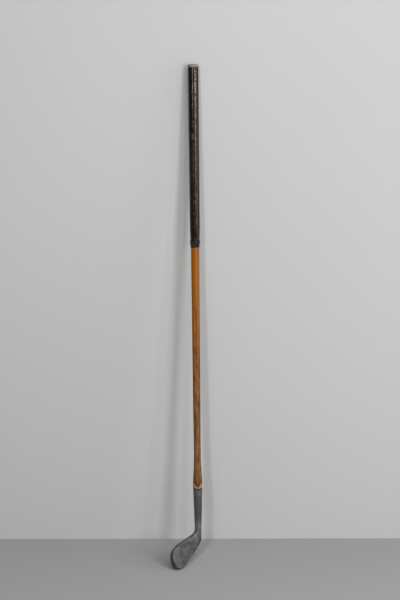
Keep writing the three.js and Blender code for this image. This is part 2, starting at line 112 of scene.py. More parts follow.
class ClubHeadSizes(bpy.types.PropertyGroup):
    club_length: length("Club length", "Butt's end to heel, along the shaft's axis", 0.94)
    lie: angle("Lie", "Angle between the shaft and the sole line", 61.5)
    loft: angle("Loft", "Lean of the face", 20)
    rim_diameter: length("Rim diameter", "Outside of the hosel at its top", 0.0181)
    neck_diameter: length("Neck diameter", "Thinnest part of the neck", 0.0129)
    hosel_fullness: share("Hosel fullness", "How far the hosel swells past a plain cone", 0.3)
    rim_round: length("Rim round", "Worn edge of the hosel's top", 0.0006)
    groove_below_rim: length("Groove below rim", "Middle of the ring cut round the hosel", 0.01)
    groove_width: length("Groove width", "Width of the ring cut round the hosel", 0.0014)
    groove_depth: length("Groove depth", "Depth of the ring cut round the hosel", 0.0004)
    socket_depth: length("Socket depth", "Rim to the socket's floor", 0.078)
    socket_mouth: length("Socket mouth", "Diameter of the socket at the rim", 0.014)
    socket_floor: length("Socket floor", "Diameter of the socket at its floor", 0.0086)
    blade_length: length("Blade length", "Heel to toe along the sole line", 0.078)
    toe_height: length("Toe height", "Height of the face before the toe's curve", 0.04)
    toe_tip_height: length("Toe tip", "Height at which the blade is longest", 0.011)
    toe_above_tip: length("Toe above tip", "Length of the toe's curve above its tip", 0.0215)
    toe_below_tip: length("Toe below tip", "Length of the toe's curve below its tip", 0.019)
    heel_height: length("Heel height", "Height of the face at the heel", 0.025)
    topline_slope: angle("Topline slope", "Rise of the topline where it leaves the neck", 16)
    sole_rocker: length("Sole rocker", "Fall of the sole line towards the toe", 0.0008)
    leading_edge: length("Leading edge", "Leading edge ahead of the shaft's axis", 0.0062)
    sole_thickness: length("Sole thickness", "Thickness of the blade at the sole", 0.016)
    topline_thickness: length("Topline thickness", "Thickness of the blade at its top", 0.008)
    leading_round: length("Leading round", "Radius of the leading edge", 0.0018)
    topline_round: length("Topline round", "Radius of the topline's edges", 0.0016)
    sole_back_round: length("Sole back round", "Radius of the sole's rear edge", 0.0036)
    toe_face_round: length("Toe face round", "Radius of the face's edge round the toe", 0.0035)
    toe_back_round: length("Toe back round", "Radius of the back's edge round the toe", 0.0016)
    heel_edge_round: length("Heel edge round", "Radius of the face's edges at the heel", 0.005)
    heel_edge_fade: length("Heel edge fade", "Length over which that radius fades", 0.02)
    sole_camber: length("Sole camber", "Crown of the sole, front to back", 0.0006)
    back_camber: length("Back camber", "Crown of the blade's back", 0.0007)
    neck_fillet: length("Neck fillet", "Radius between the neck and the topline", 0.0094)
    neck_blend: length("Neck blend", "Straight neck that already turns into the blade", 0.008)
    blade_blend: length("Blade blend", "Start of the blade that still has some neck in it", 0.007)
    heel_blend: length("Heel blend", "Rounding of the heel's corner", 0.0095)
    forging_wave: length("Forging wave", "Depth of the hammer's waves", 0.00009)
    pin_crown: length("Pin crown", "Height of the rivet's peened ends", 0.0003)


class ClubShaftSizes(bpy.types.PropertyGroup):
    shoulder_diameter: length("Shoulder", "Diameter where the wood meets the rim", 0.018)
    flare_straight: length("Flare straight", "Even part above the rim", 0.004)
    flare_length: length("Flare length", "Rim to the slim part", 0.062)
    waist_diameter: length("Waist", "Slimmest part above the hosel", 0.0135)
    waist_above_rim: length("Waist height", "Rim to the end of the slim part", 0.111)
    grip_seat: length("Grip seat", "Diameter of the wood under the grip's top", 0.0166)
    butt_diameter: length("Butt diameter", "Diameter of the butt above the leather", 0.0198)
    butt_round: length("Butt round", "Radius of the butt's edge", 0.0035)
    broken_edge: length("Broken edge", "Small edges taken off with a file", 0.0003)
    joint_gap: length("Joint gap", "Gap between the wood and the rim", 0.0003)
    plane_wave: length("Plane wave", "Unevenness left by the hand plane", 0.00006)


class ClubGripSizes(bpy.types.PropertyGroup):
    upper_diameter: length("Upper diameter", "Thickest part of the grip", 0.0206)
    lower_diameter: length("Lower diameter", "Grip before the leather thins at its foot", 0.0191)
    swell_length: length("Swell length", "Foot to the thickest part", 0.27)
    leather_thickness: length("Leather thickness", "Thickness of the strip", 0.0009)
    strip_pitch: length("Strip pitch", "Height of one turn of the strip", 0.025)
    seam: length("Seam", "Gap between neighbouring turns", 0.00016)
    seam_dip: length("Seam dip", "How far the strip's edges are pressed in", 0.00012)
    seam_shoulder: length("Seam shoulder", "Width over which the edge falls", 0.0009)
    seam_wander: length("Seam wander", "How far the seam strays from a true spiral", 0.0005)
    strip_end: length("Strip end", "Width of the strip's pointed ends", 0.002)
    strip_start: angle("Strip start", "Where the strip starts round the shaft", -103)
    skive_length: length("Skive length", "Thinned part at the leather's foot", 0.024)
    skive_depth: length("Skive depth", "How much thinner the leather is at its foot", 0.001)
    hand_wear: length("Hand wear", "Depth of the hollows worn by the hands", 0.00016)
    thread_diameter: length("Thread diameter", "Waxed thread of the whipping", 0.0007)
    thread_pitch: length("Thread pitch", "Height of one turn of the thread", 0.00072)
    layer_gap: length("Layer gap", "Gap between wound layers", 0.0002)
    tack_head: length("Tack head", "Diameter of a tack's head", 0.0036)
    tack_dome: length("Tack dome", "Height of a tack's head", 0.0007)
    tack_shank: length("Tack shank", "Diameter of a tack's shank", 0.0013)
    tack_length: length("Tack length", "Length of a tack under its head", 0.006)


class ClubColours(bpy.types.PropertyGroup):
    iron: colour("Iron", "Rubbed iron", (0.25, 0.248, 0.244))
    # Dark iron is also the tone of the painted shade on the blade, the hosel and the edges
    iron_dark: colour("Dark iron", "Old dark skin of the iron", (0.077, 0.0765, 0.075))
    rust: colour("Rust", "Rust in pits and by the rim", (0.115, 0.07, 0.04))
    rim_dirt: colour("Rim dirt", "Dirt that has run down over the rim", (0.066, 0.041, 0.019))
    pin: colour("Pin", "End of the rivet", (0.5, 0.48, 0.45))
    hickory: colour("Hickory", "Varnished wood near the grip", (0.37, 0.117, 0.004))
    hickory_low: colour("Lower hickory", "Varnished wood near the head", (0.245, 0.125, 0.048))
    hickory_dark: colour("Dark grain", "Pores and late wood", (0.1, 0.035, 0.012))
    stain: colour("Stain", "Varnish and dirt run together above the rim", (0.115, 0.035, 0.004))
    bare_wood: colour("Bare wood", "Wood worn free of varnish", (0.37, 0.268, 0.178))
    butt_wood: colour("Butt wood", "Greyed end of the shaft", (0.27, 0.25, 0.2))
    butt_dirt: colour("Butt dirt", "Dirt where the wood meets the leather", (0.05, 0.04, 0.03))
    leather: colour("Leather", "Polished black-brown leather", (0.006, 0.0035, 0.002))
    leather_worn: colour("Worn leather", "Reddish where the dye is worn", (0.018, 0.007, 0.0035))
    leather_edge: colour("Leather edge", "Scuffed edges of the strip", (0.11, 0.06, 0.035))
    thread: colour("Thread", "Pitched thread", (0.009, 0.0095, 0.0105))
    cloth: colour("Cloth", "List cloth under the leather", (0.12, 0.1, 0.08))
    brass: colour("Brass", "Tarnished tacks", (0.4, 0.27, 0.1))
    floor: colour("Floor", "Plain floor", (0.435, 0.435, 0.435))
    wall: colour("Wall", "Plain backdrop", (0.495, 0.5, 0.495))


class ClubStageSizes(bpy.types.PropertyGroup):
    camera_azimuth: angle("Camera azimuth", "From the toe's side round to the face", 36)
    camera_distance: length("Camera distance", "Level distance from the shaft's axis", 3.0)
    camera_height: length("Camera height", "Above the middle of the hands' hold", 0.261)
    camera_pitch: angle("Camera pitch", "Below the horizon", 10.58)
    camera_yaw: angle("Camera yaw", "To the right of the shaft", 0.16)
    lean_left: angle("Lean left", "Lean of the club across the view", 0.56)
    lean_back: angle("Lean back", "Lean of the club against the backdrop", 5.1)
    focal_length: bpy.props.FloatProperty(
        name="Focal length", description="Lens, in millimetres", default=95.1
    )
    wall_gap: length("Wall gap", "Between the butt and the backdrop", 0.001)
    stage_size: length("Stage size", "Side of the floor and the backdrop", 6.0)


class Levels:
    """Heights above the heel, and the height of the heel itself in the frame"""

    def __init__(self, head_sizes):
        self.heel = BUTT_END - head_sizes.club_length
        self.rim = HOSEL_TOP - self.heel
        self.foot = GRIP_FOOT - self.heel
        self.grip_top = GRIP_TOP - self.heel


# Shapes


def mix(low, high, factor):
    return low + (high - low) * factor


def clamp(value, low=0.0, high=1.0):
    return min(high, max(low, value))


def smooth(value):
    t = clamp(value)
    return t * t * (3 - 2 * t)


def evenly(start, end, count):
    """Values from start towards end in count even steps, without the end"""
    return [mix(start, end, step / count) for step in range(count)]


def wave(point, size):
    """Smooth noise from -1 to 1 whose lumps are about as wide as size"""
    return noise.noise(Vector(point) / size)


def spiral_noise(turns, lumps, line):
    """Noise from -1 to 1 along a spiral, with about this many lumps in a turn. line gives two
    coordinates of the straight line on which the noise is read."""
    return wave((turns * lumps, *line), 1.0)


def spiral_steps(turn_count, steps_a_turn):
    """Turns gone by at each step of a spiral, with both ends"""
    steps = math.ceil(turn_count * steps_a_turn)
    return [turn_count * step / steps for step in range(steps + 1)]


def dents(depth, radius, size):
    """Shift for turned_rings: shallow dents about as wide as size"""
    return lambda turn, height: depth * wave(arm(radius, turn, height), size)


def arm(radius, turned, height):
    return Vector((radius * math.cos(turned), radius * math.sin(turned), height))


def quarter_turn(count):
    """Angles at count even places from 0 to a quarter turn, with both ends"""
    return [step / (count - 1) * math.pi / 2 for step in range(count)]


def quarter_round(radius, height, edge, count, way):
    """Rounded edge of a turned piece, from its level side to its upright one, as (radius,
    height) pairs. way is 1 where the upright side goes up and -1 where it goes down."""
    return [(radius - edge * (1 - math.sin(turn)), height + way * edge * (1 - math.cos(turn)))
            for turn in quarter_turn(count)]


def turned_rings(profile, sides, shift):
    """Rings about Z from (radius, height) pairs. shift(turn, height) is added to each radius."""
    turns = evenly(0.0, TURN, sides)
    return [[arm(radius + shift(turn, height), turn, height) for turn in turns]
            for radius, height in profile]


def carried(rings, matrix):
    return [[matrix @ point for point in ring] for ring in rings]


def linked(name, data):
    """New object in the scene"""
    thing = bpy.data.objects.new(name, data)
    bpy.context.scene.collection.objects.link(thing)
    return thing


def skin(name, rings, material, marks=None):
    """Closed mesh over a row of rings with equally many points, each end closed by a fan.
    marks gives one value for each point of each ring and is kept as the attribute edge."""
    sides = len(rings[0])
    points = [point for ring in rings for point in ring]
    faces = []
    for row in range(len(rings) - 1):
        for side in range(sides):
            after = (side + 1) % sides
            faces.append((row * sides + side, row * sides + after,
                          (row + 1) * sides + after, (row + 1) * sides + side))
    for row, flip in ((0, True), (len(rings) - 1, False)):
        hub = len(points)
        points.append(sum(rings[row], Vector()) / sides)
        for side in range(sides):
            pair = (row * sides + side, row * sides + (side + 1) % sides)
            faces.append((hub, *reversed(pair)) if flip else (hub, *pair))
    mesh = bpy.data.meshes.new(name)
    mesh.from_pydata(points, [], faces)
    if marks:
        flat = [value for ring in marks for value in ring]
        edge = mesh.attributes.new("edge", "FLOAT", "POINT")
        edge.data.foreach_set("value", flat + [0.0] * (len(points) - len(flat)))
    mesh.shade_smooth()
    mesh.update()
    mesh.materials.append(material)
    return linked(name, mesh)


def keep_flats(piece):
    """Leaves flat faces flat under smooth shading"""
    modifier = piece.modifiers.new("Keep flats", "WEIGHTED_NORMAL")
    modifier.weight = 100
    modifier.keep_sharp = True


def settle(piece, node):
    """Rides the piece on the club and the node that it stands for"""
    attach(piece, "root")
    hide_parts(node)


# Node trees


def rgba(tone):
    """Four numbers for a colour. A socket stays as it is."""
    return tone if isinstance(tone, bpy.types.NodeSocket) else (*tone, 1.0)


def spaced(inputs):
    """Socket names from keywords, in which an underscore stands for a space"""
    return {name.replace("_", " "): value for name, value in inputs.items()}


class Nodes:
    """Writes a node tree: most calls add a node, fill it and return its output"""

    def __init__(self, tree):
        self.tree = tree

    def fill(self, node, inputs):
        """Links sockets to a node's inputs, or sets them to plain values"""
        for key, value in inputs.items():
            if isinstance(value, bpy.types.NodeSocket):
                self.tree.links.new(value, node.inputs[key])
            else:
                node.inputs[key].default_value = value
        return node

    def add(self, kind, inputs=None, output=0, **settings):
        node = self.tree.nodes.new(kind)
        for name, value in settings.items():
            setattr(node, name, value)
        return self.fill(node, inputs or {}).outputs[output]

    def math(self, operation, first, second=0.0, **settings):
        return self.add("ShaderNodeMath", {0: first, 1: second}, operation=operation, **settings)

    def plus(self, first, second):
        return self.math("ADD", first, second)

    def less(self, first, second):
        return self.math("SUBTRACT", first, second)

    def times(self, first, second):
        return self.math("MULTIPLY", first, second)

    def most(self, first, second):
        return self.math("MAXIMUM", first, second)

    def total(self, base, *parts, clamped=False):
        """The base plus each (mask, amount) pair multiplied"""
        for mask, amount in parts:
            base = self.add("ShaderNodeMath", {0: mask, 1: amount, 2: base},
                            operation="MULTIPLY_ADD")
        base.node.use_clamp = clamped
        return base

    def fade(self, value, low, high, start=0.0, end=1.0):
        inputs = {"Value": value, "From Min": low, "From Max": high, "To Min": start, "To Max": end}
        return self.add("ShaderNodeMapRange", inputs, interpolation_type="SMOOTHSTEP")

    def blend(self, factor, first, second):
        inputs = {0: factor, 6: rgba(first), 7: rgba(second)}
        return self.add("ShaderNodeMix", inputs, 2, data_type="RGBA")

    def layers(self, tone, *layers):
        """Lays colours over a tone in turn, each by its mask times its amount"""
        for mask, amount, over in layers:
            tone = self.blend(self.times(mask, amount), tone, over)
        return tone

    def vector(self, operation, first, second, output=0):
        return self.add("ShaderNodeVectorMath", {0: first, 1: second}, output, operation=operation)

    def toward(self, place, direction):
        """How far a place lies in a direction"""
        return self.vector("DOT_PRODUCT", place, direction, 1)

    def noise(self, place, scale, detail, roughness, distortion=0.0):
        inputs = {"Vector": place, "Scale": scale, "Detail": detail,
                  "Roughness": roughness, "Distortion": distortion}
        return self.add("ShaderNodeTexNoise", inputs)

    def drawn_noise(self, place, across, along, detail, roughness):
        """Noise with one scale across the shaft and another along it"""
        drawn = self.vector("MULTIPLY", place, (across, across, along))
        return self.noise(drawn, 1.0, detail, roughness)

    def cells(self, place, scale, feature="F1"):
        return self.add("ShaderNodeTexVoronoi", {"Vector": place, "Scale": scale}, feature=feature)

    def bump(self, height, distance, strength):
        inputs = {"Height": height, "Distance": distance, "Strength": strength}
        return self.add("ShaderNodeBump", inputs)

    def axes(self, place):
        return list(self.add("ShaderNodeSeparateXYZ", {0: place}).node.outputs)

    def edge(self):
        """The attribute that marks edges"""
        return self.add("ShaderNodeAttribute", output="Fac", attribute_name="edge")

    def group(self, name, **inputs):
        """Places a shared group with its own values"""
        node = self.tree.nodes.new("ShaderNodeGroup")
        node.node_tree = bpy.data.node_groups.get(name) or make_group(name)
        return self.fill(node, spaced(inputs)).outputs["Mask"]

    def shade(self, **sockets):
        """Fills the material's shader"""
        return self.fill(self.tree.nodes["Principled BSDF"], spaced(sockets)).outputs[0]

    def show(self, output, factor, first, second):
        """Puts a mix of two shaders on the surface of the named output"""
        both = self.add("ShaderNodeMixShader", {0: factor, 1: first, 2: second})
        self.fill(self.tree.nodes[output], {"Surface": both})


def grime(nodes, given):
    """Broad patches broken up by fine specks: dirt, patina, worn polish"""
    patch = nodes.noise(given["Place"], given["Patch Scale"], 5, 0.6, 0.3)
    speck = nodes.noise(given["Place"], given["Speck Scale"], 4, 0.65)
    both = nodes.total(nodes.times(patch, 0.7), (speck, 0.3))
    edge = nodes.fade(given["Amount"], 0.0, 1.0, 0.66, 0.34)
    return nodes.fade(both, nodes.less(edge, 0.07), nodes.plus(edge, 0.07))


def scratches(nodes, given):
    """Fine scratches that run mostly one way, with a few across"""
    bend = 0.004
    bent = nodes.add("ShaderNodeTexNoise", {"Vector": given["Place"], "Scale": 25.0}, "Color")
    shifted = nodes.add("ShaderNodeVectorMath", {0: bent, 1: (bend, bend, bend), 2: given["Place"]},
                        operation="MULTIPLY_ADD")
    lines = nodes.noise(nodes.vector("MULTIPLY", shifted, given["Along"]), given["Scale"], 1, 0.4)
    patches = nodes.noise(given["Place"], 140.0, 2, 0.5)
    edge = nodes.fade(given["Amount"], 0.0, 1.0, 0.78, 0.5)
    thin = nodes.fade(lines, edge, nodes.plus(edge, 0.06))
    return nodes.times(thin, nodes.fade(patches, 0.4, 0.62))


def edge_wear(nodes, given):
    """Edge mask, worn on leather, painted shade on iron: the edge attribute, eaten into by noise"""
    broken = nodes.noise(given["Place"], given["Scale"], 4, 0.6)
    reach = nodes.plus(given["Edge"], nodes.less(broken, 0.5))
    start = nodes.less(1.15, given["Amount"])
    return nodes.fade(reach, start, nodes.plus(start, 0.3))


# The shared groups: the function that writes each, and its inputs with their defaults
ORIGIN = (0.0, 0.0, 0.0)
SHARED_GROUPS = {
    "Grime": (grime, {
        "Place": ORIGIN, "Patch Scale": 60.0, "Speck Scale": 900.0, "Amount": 0.5}),
    "Scratches": (scratches, {
        "Place": ORIGIN, "Along": (1.0, 1.0, 0.03), "Scale": 3000.0, "Amount": 0.5}),
    "Edge wear": (edge_wear, {
        "Edge": 0.0, "Place": ORIGIN, "Scale": 350.0, "Amount": 0.5}),
}


def make_group(name):
    """Shader node group with named inputs and the one output Mask"""
    write, inputs = SHARED_GROUPS[name]
    tree = bpy.data.node_groups.new(name, "ShaderNodeTree")
    for label, default in inputs.items():
        kind = "NodeSocketFloat" if isinstance(default, float) else "NodeSocketVector"
        tree.interface.new_socket(label, in_out="INPUT", socket_type=kind).default_value = default
    tree.interface.new_socket("Mask", in_out="OUTPUT", socket_type="NodeSocketFloat")
    given = tree.nodes.new("NodeGroupInput").outputs
    mask = write(Nodes(tree), given)
    tree.links.new(mask, tree.nodes.new("NodeGroupOutput").inputs["Mask"])
    return tree


def new_material(name):
    """Material, the writer of its nodes, and the place on the piece"""
    material = bpy.data.materials.new(name)
    material.use_nodes = True
    nodes = Nodes(material.node_tree)
    return material, nodes, nodes.add("ShaderNodeTexCoord", output="Object")


# Materials. above_rim and above_grip are metres above the hosel's rim and the leather's top.


def forged_iron(colours, sizes):
    """A blade darkened by patina and painted shade, a plain neck, pits, scratches, rust by the rim
    """
    material, nodes, place = new_material("forged_iron")
    above_rim = nodes.less(nodes.axes(place)[2], HOSEL_TOP)
    patina = nodes.group("Grime", Place=place, Patch_Scale=70.0, Speck_Scale=1100.0, Amount=0.5)
    # The edge marks, above all the face's rounding at the toe, are painted darker as shade, and
    # made rougher
    worn = nodes.group("Edge wear", Edge=nodes.edge(), Place=place, Scale=420.0, Amount=0.62)
    scratched = nodes.group("Scratches", Place=place, Along=(0.05, 1.0, 1.0), Scale=3600.0,
                            Amount=0.45)
    # The blade is painted darker towards the heel and the sole: painted shade. The hosel is
    # darkened about half as much, and the neck between them keeps the plain iron tone.
    heel = BUTT_END - sizes.club_length
    fade_slope = 0.35
    to_toe = nodes.toward(place, (-math.cos(fade_slope), 0.0, math.sin(fade_slope)))
    from_heel = nodes.less(to_toe, heel * math.sin(fade_slope))
    below_neck = nodes.fade(above_rim, -0.092, -0.106)
    painted_shade_and_darkening = nodes.times(nodes.fade(from_heel, 0.064, 0.028, 0.78, 1.0), below_neck)
    on_hosel = nodes.fade(above_rim, -0.078, -0.055)
    painted_shade_and_darkening = nodes.most(painted_shade_and_darkening, nodes.times(on_hosel, 0.52))
    # Sole, toe and back, behind the plane of the face, are evenly painted darker: painted shade,
    # above all on the toe's edge
    up_face = Vector((-math.cos(sizes.lie), 0, math.sin(sizes.lie)))
    out_face = Vector((0, -math.cos(sizes.loft), 0)) + up_face * math.sin(sizes.loft)
    sole_line = Vector((0, -sizes.leading_edge, heel)).dot(out_face)
    before_face = nodes.less(nodes.toward(place, out_face), sole_line)
    behind = nodes.times(nodes.fade(before_face, -0.0003, -0.0016, 0.0, 0.8),
                         nodes.fade(above_rim, -0.094, -0.108))
    painted_shade_and_darkening = nodes.most(painted_shade_and_darkening, behind)
    # Pits: small cells, in some places only
    where = nodes.noise(place, 160.0, 3, 0.6)
    pits = nodes.times(nodes.fade(nodes.cells(place, 1300.0), 0.3, 0.12),
                       nodes.fade(where, 0.5, 0.64))
    speckle = nodes.noise(place, 700.0, 4, 0.7)
    near_rim = nodes.fade(above_rim, -0.016, -0.008)
    rust = nodes.times(near_rim, nodes.fade(speckle, 0.36, 0.6))
    rust = nodes.most(rust, nodes.times(pits, 0.8))
    rim_dirt = nodes.fade(above_rim, -0.005, -0.0012)
    # Painted shade and patina both blend the iron towards its dark tone
    dark = nodes.total(nodes.times(patina, 0.25), (painted_shade_and_darkening, 0.75))
    tone = nodes.layers(nodes.blend(dark, colours.iron, colours.iron_dark),
                        (scratched, 0.5, colours.pin), (rust, 0.85, colours.rust),
                        (worn, 0.45, colours.iron_dark), (rim_dirt, 0.85, colours.rim_dirt))
    rust = nodes.most(rust, rim_dirt)
    rough = nodes.total(nodes.fade(patina, 0, 1, 0.48, 0.6), (rust, 0.22), (on_hosel, -0.2),
                        (worn, 0.15), clamped=True)
    fine = nodes.noise(place, 2600.0, 3, 0.6)
    relief = nodes.total(nodes.times(fine, 0.25), (pits, -1.0), (scratched, -0.35))
    nodes.shade(Base_Color=tone, Roughness=rough,
                Metallic=nodes.total(1.0, (rust, -0.75), clamped=True),
                Normal=nodes.bump(relief, 0.00012, 0.55))
    return material


def pin_steel(colours):
    """Filed rivet steel with some stain"""
    material, nodes, place = new_material("pin_steel")
    stain = nodes.group("Grime", Place=place, Patch_Scale=500.0, Speck_Scale=3000.0, Amount=0.4)
    filed = nodes.group("Scratches", Place=place, Along=(1.0, 1.0, 0.06), Scale=9000.0, Amount=0.7)
    nodes.shade(Base_Color=nodes.blend(stain, colours.pin, colours.iron), Metallic=1.0,
                Roughness=nodes.fade(stain, 0, 1, 0.28, 0.45),
                Normal=nodes.bump(filed, 0.00004, 0.6))
    return material


def hickory(colours):
    """Varnished wood with grain, a worn shoulder and a greyed butt"""
    material, nodes, place = new_material("hickory")
    along_x, along_y, height = nodes.axes(place)
    above_rim = nodes.less(height, HOSEL_TOP)
    above_grip = nodes.less(height, GRIP_TOP)
    # Growth rings are sheets that stand nearly along the shaft
    drift = nodes.drawn_noise(place, 55.0, 4.0, 3, 0.5)
    phase = nodes.total(nodes.times(along_x, 410.0), (along_y, 260.0), (drift, 5.0))
    ring = nodes.math("FRACT", phase)
    early = nodes.times(nodes.fade(ring, 0.0, 0.12), nodes.fade(ring, 0.42, 0.2))
    pores = nodes.drawn_noise(place, 2600.0, 110.0, 2, 0.5)
    pore = nodes.fade(nodes.total(pores, (early, 0.1)), 0.6, 0.7)
    fibre = nodes.drawn_noise(place, 5200.0, 95.0, 3, 0.6)
    streak = nodes.drawn_noise(place, 330.0, 7.0, 3, 0.55)
    mottle = nodes.drawn_noise(place, 330.0, 46.0, 5, 0.65)
    # Varnish goes from amber under the grip to brown near the head
    bare_length = WHIPPING_FOOT - HOSEL_TOP
    lower = nodes.fade(above_rim, bare_length * 0.95, bare_length * 0.15)
    mottled = nodes.times(nodes.fade(mottle, 0.44, 0.62, 0.0, 0.75), nodes.fade(lower, 0.0, 0.6))
    depth = nodes.total(nodes.times(early, 0.22), (pore, 0.45),
                        (nodes.fade(streak, 0.35, 0.75), 0.32),
                        (nodes.fade(fibre, 0.3, 0.8), 0.22), (mottled, 1.0), clamped=True)
    tone = nodes.blend(lower, colours.hickory, colours.hickory_low)
    tone = nodes.blend(depth, tone, colours.hickory_dark)
    # Bare band by the rim, under a dark stain with a ragged edge in three lobes
    ragged = nodes.drawn_noise(place, 150.0, 60.0, 4, 0.6)
    turned = nodes.math("ARCTAN2", along_y, along_x)
    lobes = nodes.math("COSINE", nodes.total(math.radians(72), (turned, 3.0)))
    level = nodes.total(above_rim, (lobes, 0.004), (nodes.less(ragged, 0.5), 0.01))
    bare = nodes.times(nodes.fade(level, 0.0082, 0.0066), nodes.fade(above_rim, 0.0012, 0.0022))
    pale = nodes.layers(colours.bare_wood,
                        (nodes.fade(fibre, 0.35, 0.75), 0.4, colours.hickory_low))
    # The butt is greyed, with dirt where it meets the leather
    butt = nodes.fade(above_grip, -0.001, 0.0005)
    greyed = nodes.layers(colours.butt_wood,
                          (nodes.fade(pores, 0.5, 0.68), 0.6, colours.butt_dirt),
                          (nodes.fade(above_grip, 0.0035, 0.0008), 0.85, colours.butt_dirt))
    dirt = nodes.group("Grime", Place=place, Patch_Scale=90.0, Speck_Scale=1500.0, Amount=0.34)
    tone = nodes.layers(tone, (nodes.fade(level, 0.025, 0.011), 0.85, colours.stain),
                        (bare, 0.9, pale),
                        (nodes.fade(above_rim, 0.002, 0.001), 1.0, colours.butt_dirt),
                        (butt, 1.0, greyed), (dirt, 0.3, colours.hickory_dark))
    raw = nodes.most(bare, butt)
    rough = nodes.total(nodes.fade(dirt, 0, 1, 0.36, 0.5), (raw, 0.25), (pore, 0.08), clamped=True)
    relief = nodes.total(nodes.times(fibre, 0.3), (pore, -0.8))
    nodes.shade(Base_Color=tone, Roughness=rough, Normal=nodes.bump(relief, 0.00006, 0.5),
                Coat_Weight=nodes.total(0.04, (raw, -0.04), clamped=True), Coat_Roughness=0.25,
                Specular_IOR_Level=0.1)
    return material


def grip_leather(colours):
    """Polished black leather, worn to brown lower down"""
    material, nodes, place = new_material("grip_leather")
    height = nodes.axes(place)[2]
    down = nodes.fade(height, GRIP_TOP, GRIP_FOOT)
    pebbles = nodes.cells(place, 1150.0, "SMOOTH_F1")
    creases = nodes.drawn_noise(place, 260.0, 620.0, 4, 0.65)
    patches = nodes.drawn_noise(place, 60.0, 28.0, 5, 0.65)
    rubbed = nodes.group("Grime", Place=place, Patch_Scale=55.0, Speck_Scale=1300.0, Amount=0.46)
    scuffed = nodes.group("Edge wear", Edge=nodes.edge(), Place=place, Scale=500.0, Amount=0.22)
    scratched = nodes.group("Scratches", Place=place, Along=(1.0, 1.0, 0.12), Scale=1900.0,
                            Amount=0.4)
    worn = nodes.total(nodes.times(rubbed, 0.6), (nodes.fade(patches, 0.4, 0.62), 0.5))
    worn_zone = nodes.times(nodes.fade(down, 0.32, 0.5), nodes.fade(down, 1.0, 0.84))
    worn = nodes.math("MULTIPLY", worn, worn_zone, use_clamp=True)
    # One dull patch on the side that the hands rub, below the upper hand
    patch_height, patch_side = 0.0165, (-0.81, -0.59, 0.0)
    ragged = nodes.drawn_noise(place, 420.0, 160.0, 4, 0.7)
    from_patch = nodes.math("ABSOLUTE", nodes.less(height, patch_height))
    from_patch = nodes.total(from_patch, (ragged, 0.012))
    patch = nodes.times(nodes.fade(from_patch, 0.0145, 0.0095),
                        nodes.fade(nodes.toward(place, patch_side), 0.0065, 0.0098))
    tone = nodes.layers(nodes.blend(worn, colours.leather, colours.leather_worn),
                        (patch, 0.22, colours.leather_edge), (scuffed, 0.25, colours.leather_edge),
                        (scratched, 0.35, colours.leather_edge))
    rough = nodes.total(nodes.fade(down, 0.3, 0.5, 0.11, 0.21),
                        (nodes.fade(creases, 0.35, 0.7, -0.03, 0.06), 1.0),
                        (scuffed, 0.08), (patch, 0.2), clamped=True)
    relief = nodes.total(nodes.times(creases, 0.7), (nodes.fade(pebbles, 0.1, 0.62), -0.4),
                         (scratched, -0.4))
    nodes.shade(Base_Color=tone, Roughness=rough, Normal=nodes.bump(relief, 0.00008, 0.4),
                Specular_IOR_Level=0.38, Specular_Tint=(1.0, 0.86, 0.78, 1.0))
    return material


def pitched_thread(colours, sizes, radius):
    """Waxed thread. Its plies are slanted lines whose number round the shaft is whole."""
    material, nodes, place = new_material("pitched_thread")
    along_x, along_y, height = nodes.axes(place)
    turned = nodes.math("ARCTAN2", along_y, along_x)
    ply_count = round(TURN * radius / sizes.thread_diameter)
    slant = nodes.times(height, TURN / sizes.thread_pitch)
    plies = nodes.math("SINE", nodes.total(slant, (turned, ply_count)))
    fuzz = nodes.noise(place, 5200.0, 3, 0.6)
    wax = nodes.group("Grime", Place=place, Patch_Scale=260.0, Speck_Scale=2600.0, Amount=0.4)
    relief = nodes.total(nodes.times(plies, 0.5), (fuzz, 0.5))
    nodes.shade(Base_Color=nodes.layers(colours.thread, (wax, 0.6, colours.iron_dark)),
                Roughness=nodes.fade(wax, 0, 1, 0.5, 0.68),
                Normal=nodes.bump(relief, 0.00006, 0.7), Specular_IOR_Level=0.25)
    return material


def list_cloth(colours):
    """Coarse woven cloth, out of sight under the leather"""
    material, nodes, place = new_material("underlay_cloth")
    thread_height, threads_round = 0.0009, 64.0
    along_x, along_y, height = nodes.axes(place)
    turned = nodes.math("ARCTAN2", along_y, along_x)
    weft = nodes.math("SINE", nodes.times(height, TURN / thread_height))
    warp = nodes.math("SINE", nodes.times(turned, threads_round))
    fuzz = nodes.noise(place, 2400.0, 4, 0.7)
    tone = nodes.layers(colours.cloth, (nodes.fade(fuzz, 0.3, 0.7), 0.6, colours.leather_edge))
    relief = nodes.total(fuzz, (nodes.times(weft, warp), 0.6))
    nodes.shade(Base_Color=tone, Roughness=0.95, Normal=nodes.bump(relief, 0.0002, 0.6))
    return material


def tarnished_brass(colours):
    """Brass with tarnish and small dents"""
    material, nodes, place = new_material("tack_brass")
    tarnish = nodes.group("Grime", Place=place, Patch_Scale=420.0, Speck_Scale=2600.0, Amount=0.5)
    dented = nodes.noise(place, 1600.0, 2, 0.5)
    nodes.shade(Base_Color=nodes.layers(colours.brass, (tarnish, 0.8, colours.rust)), Metallic=1.0,
                Roughness=nodes.fade(tarnish, 0, 1, 0.3, 0.55),
                Normal=nodes.bump(dented, 0.0001, 0.5))
    return material


# Iron head


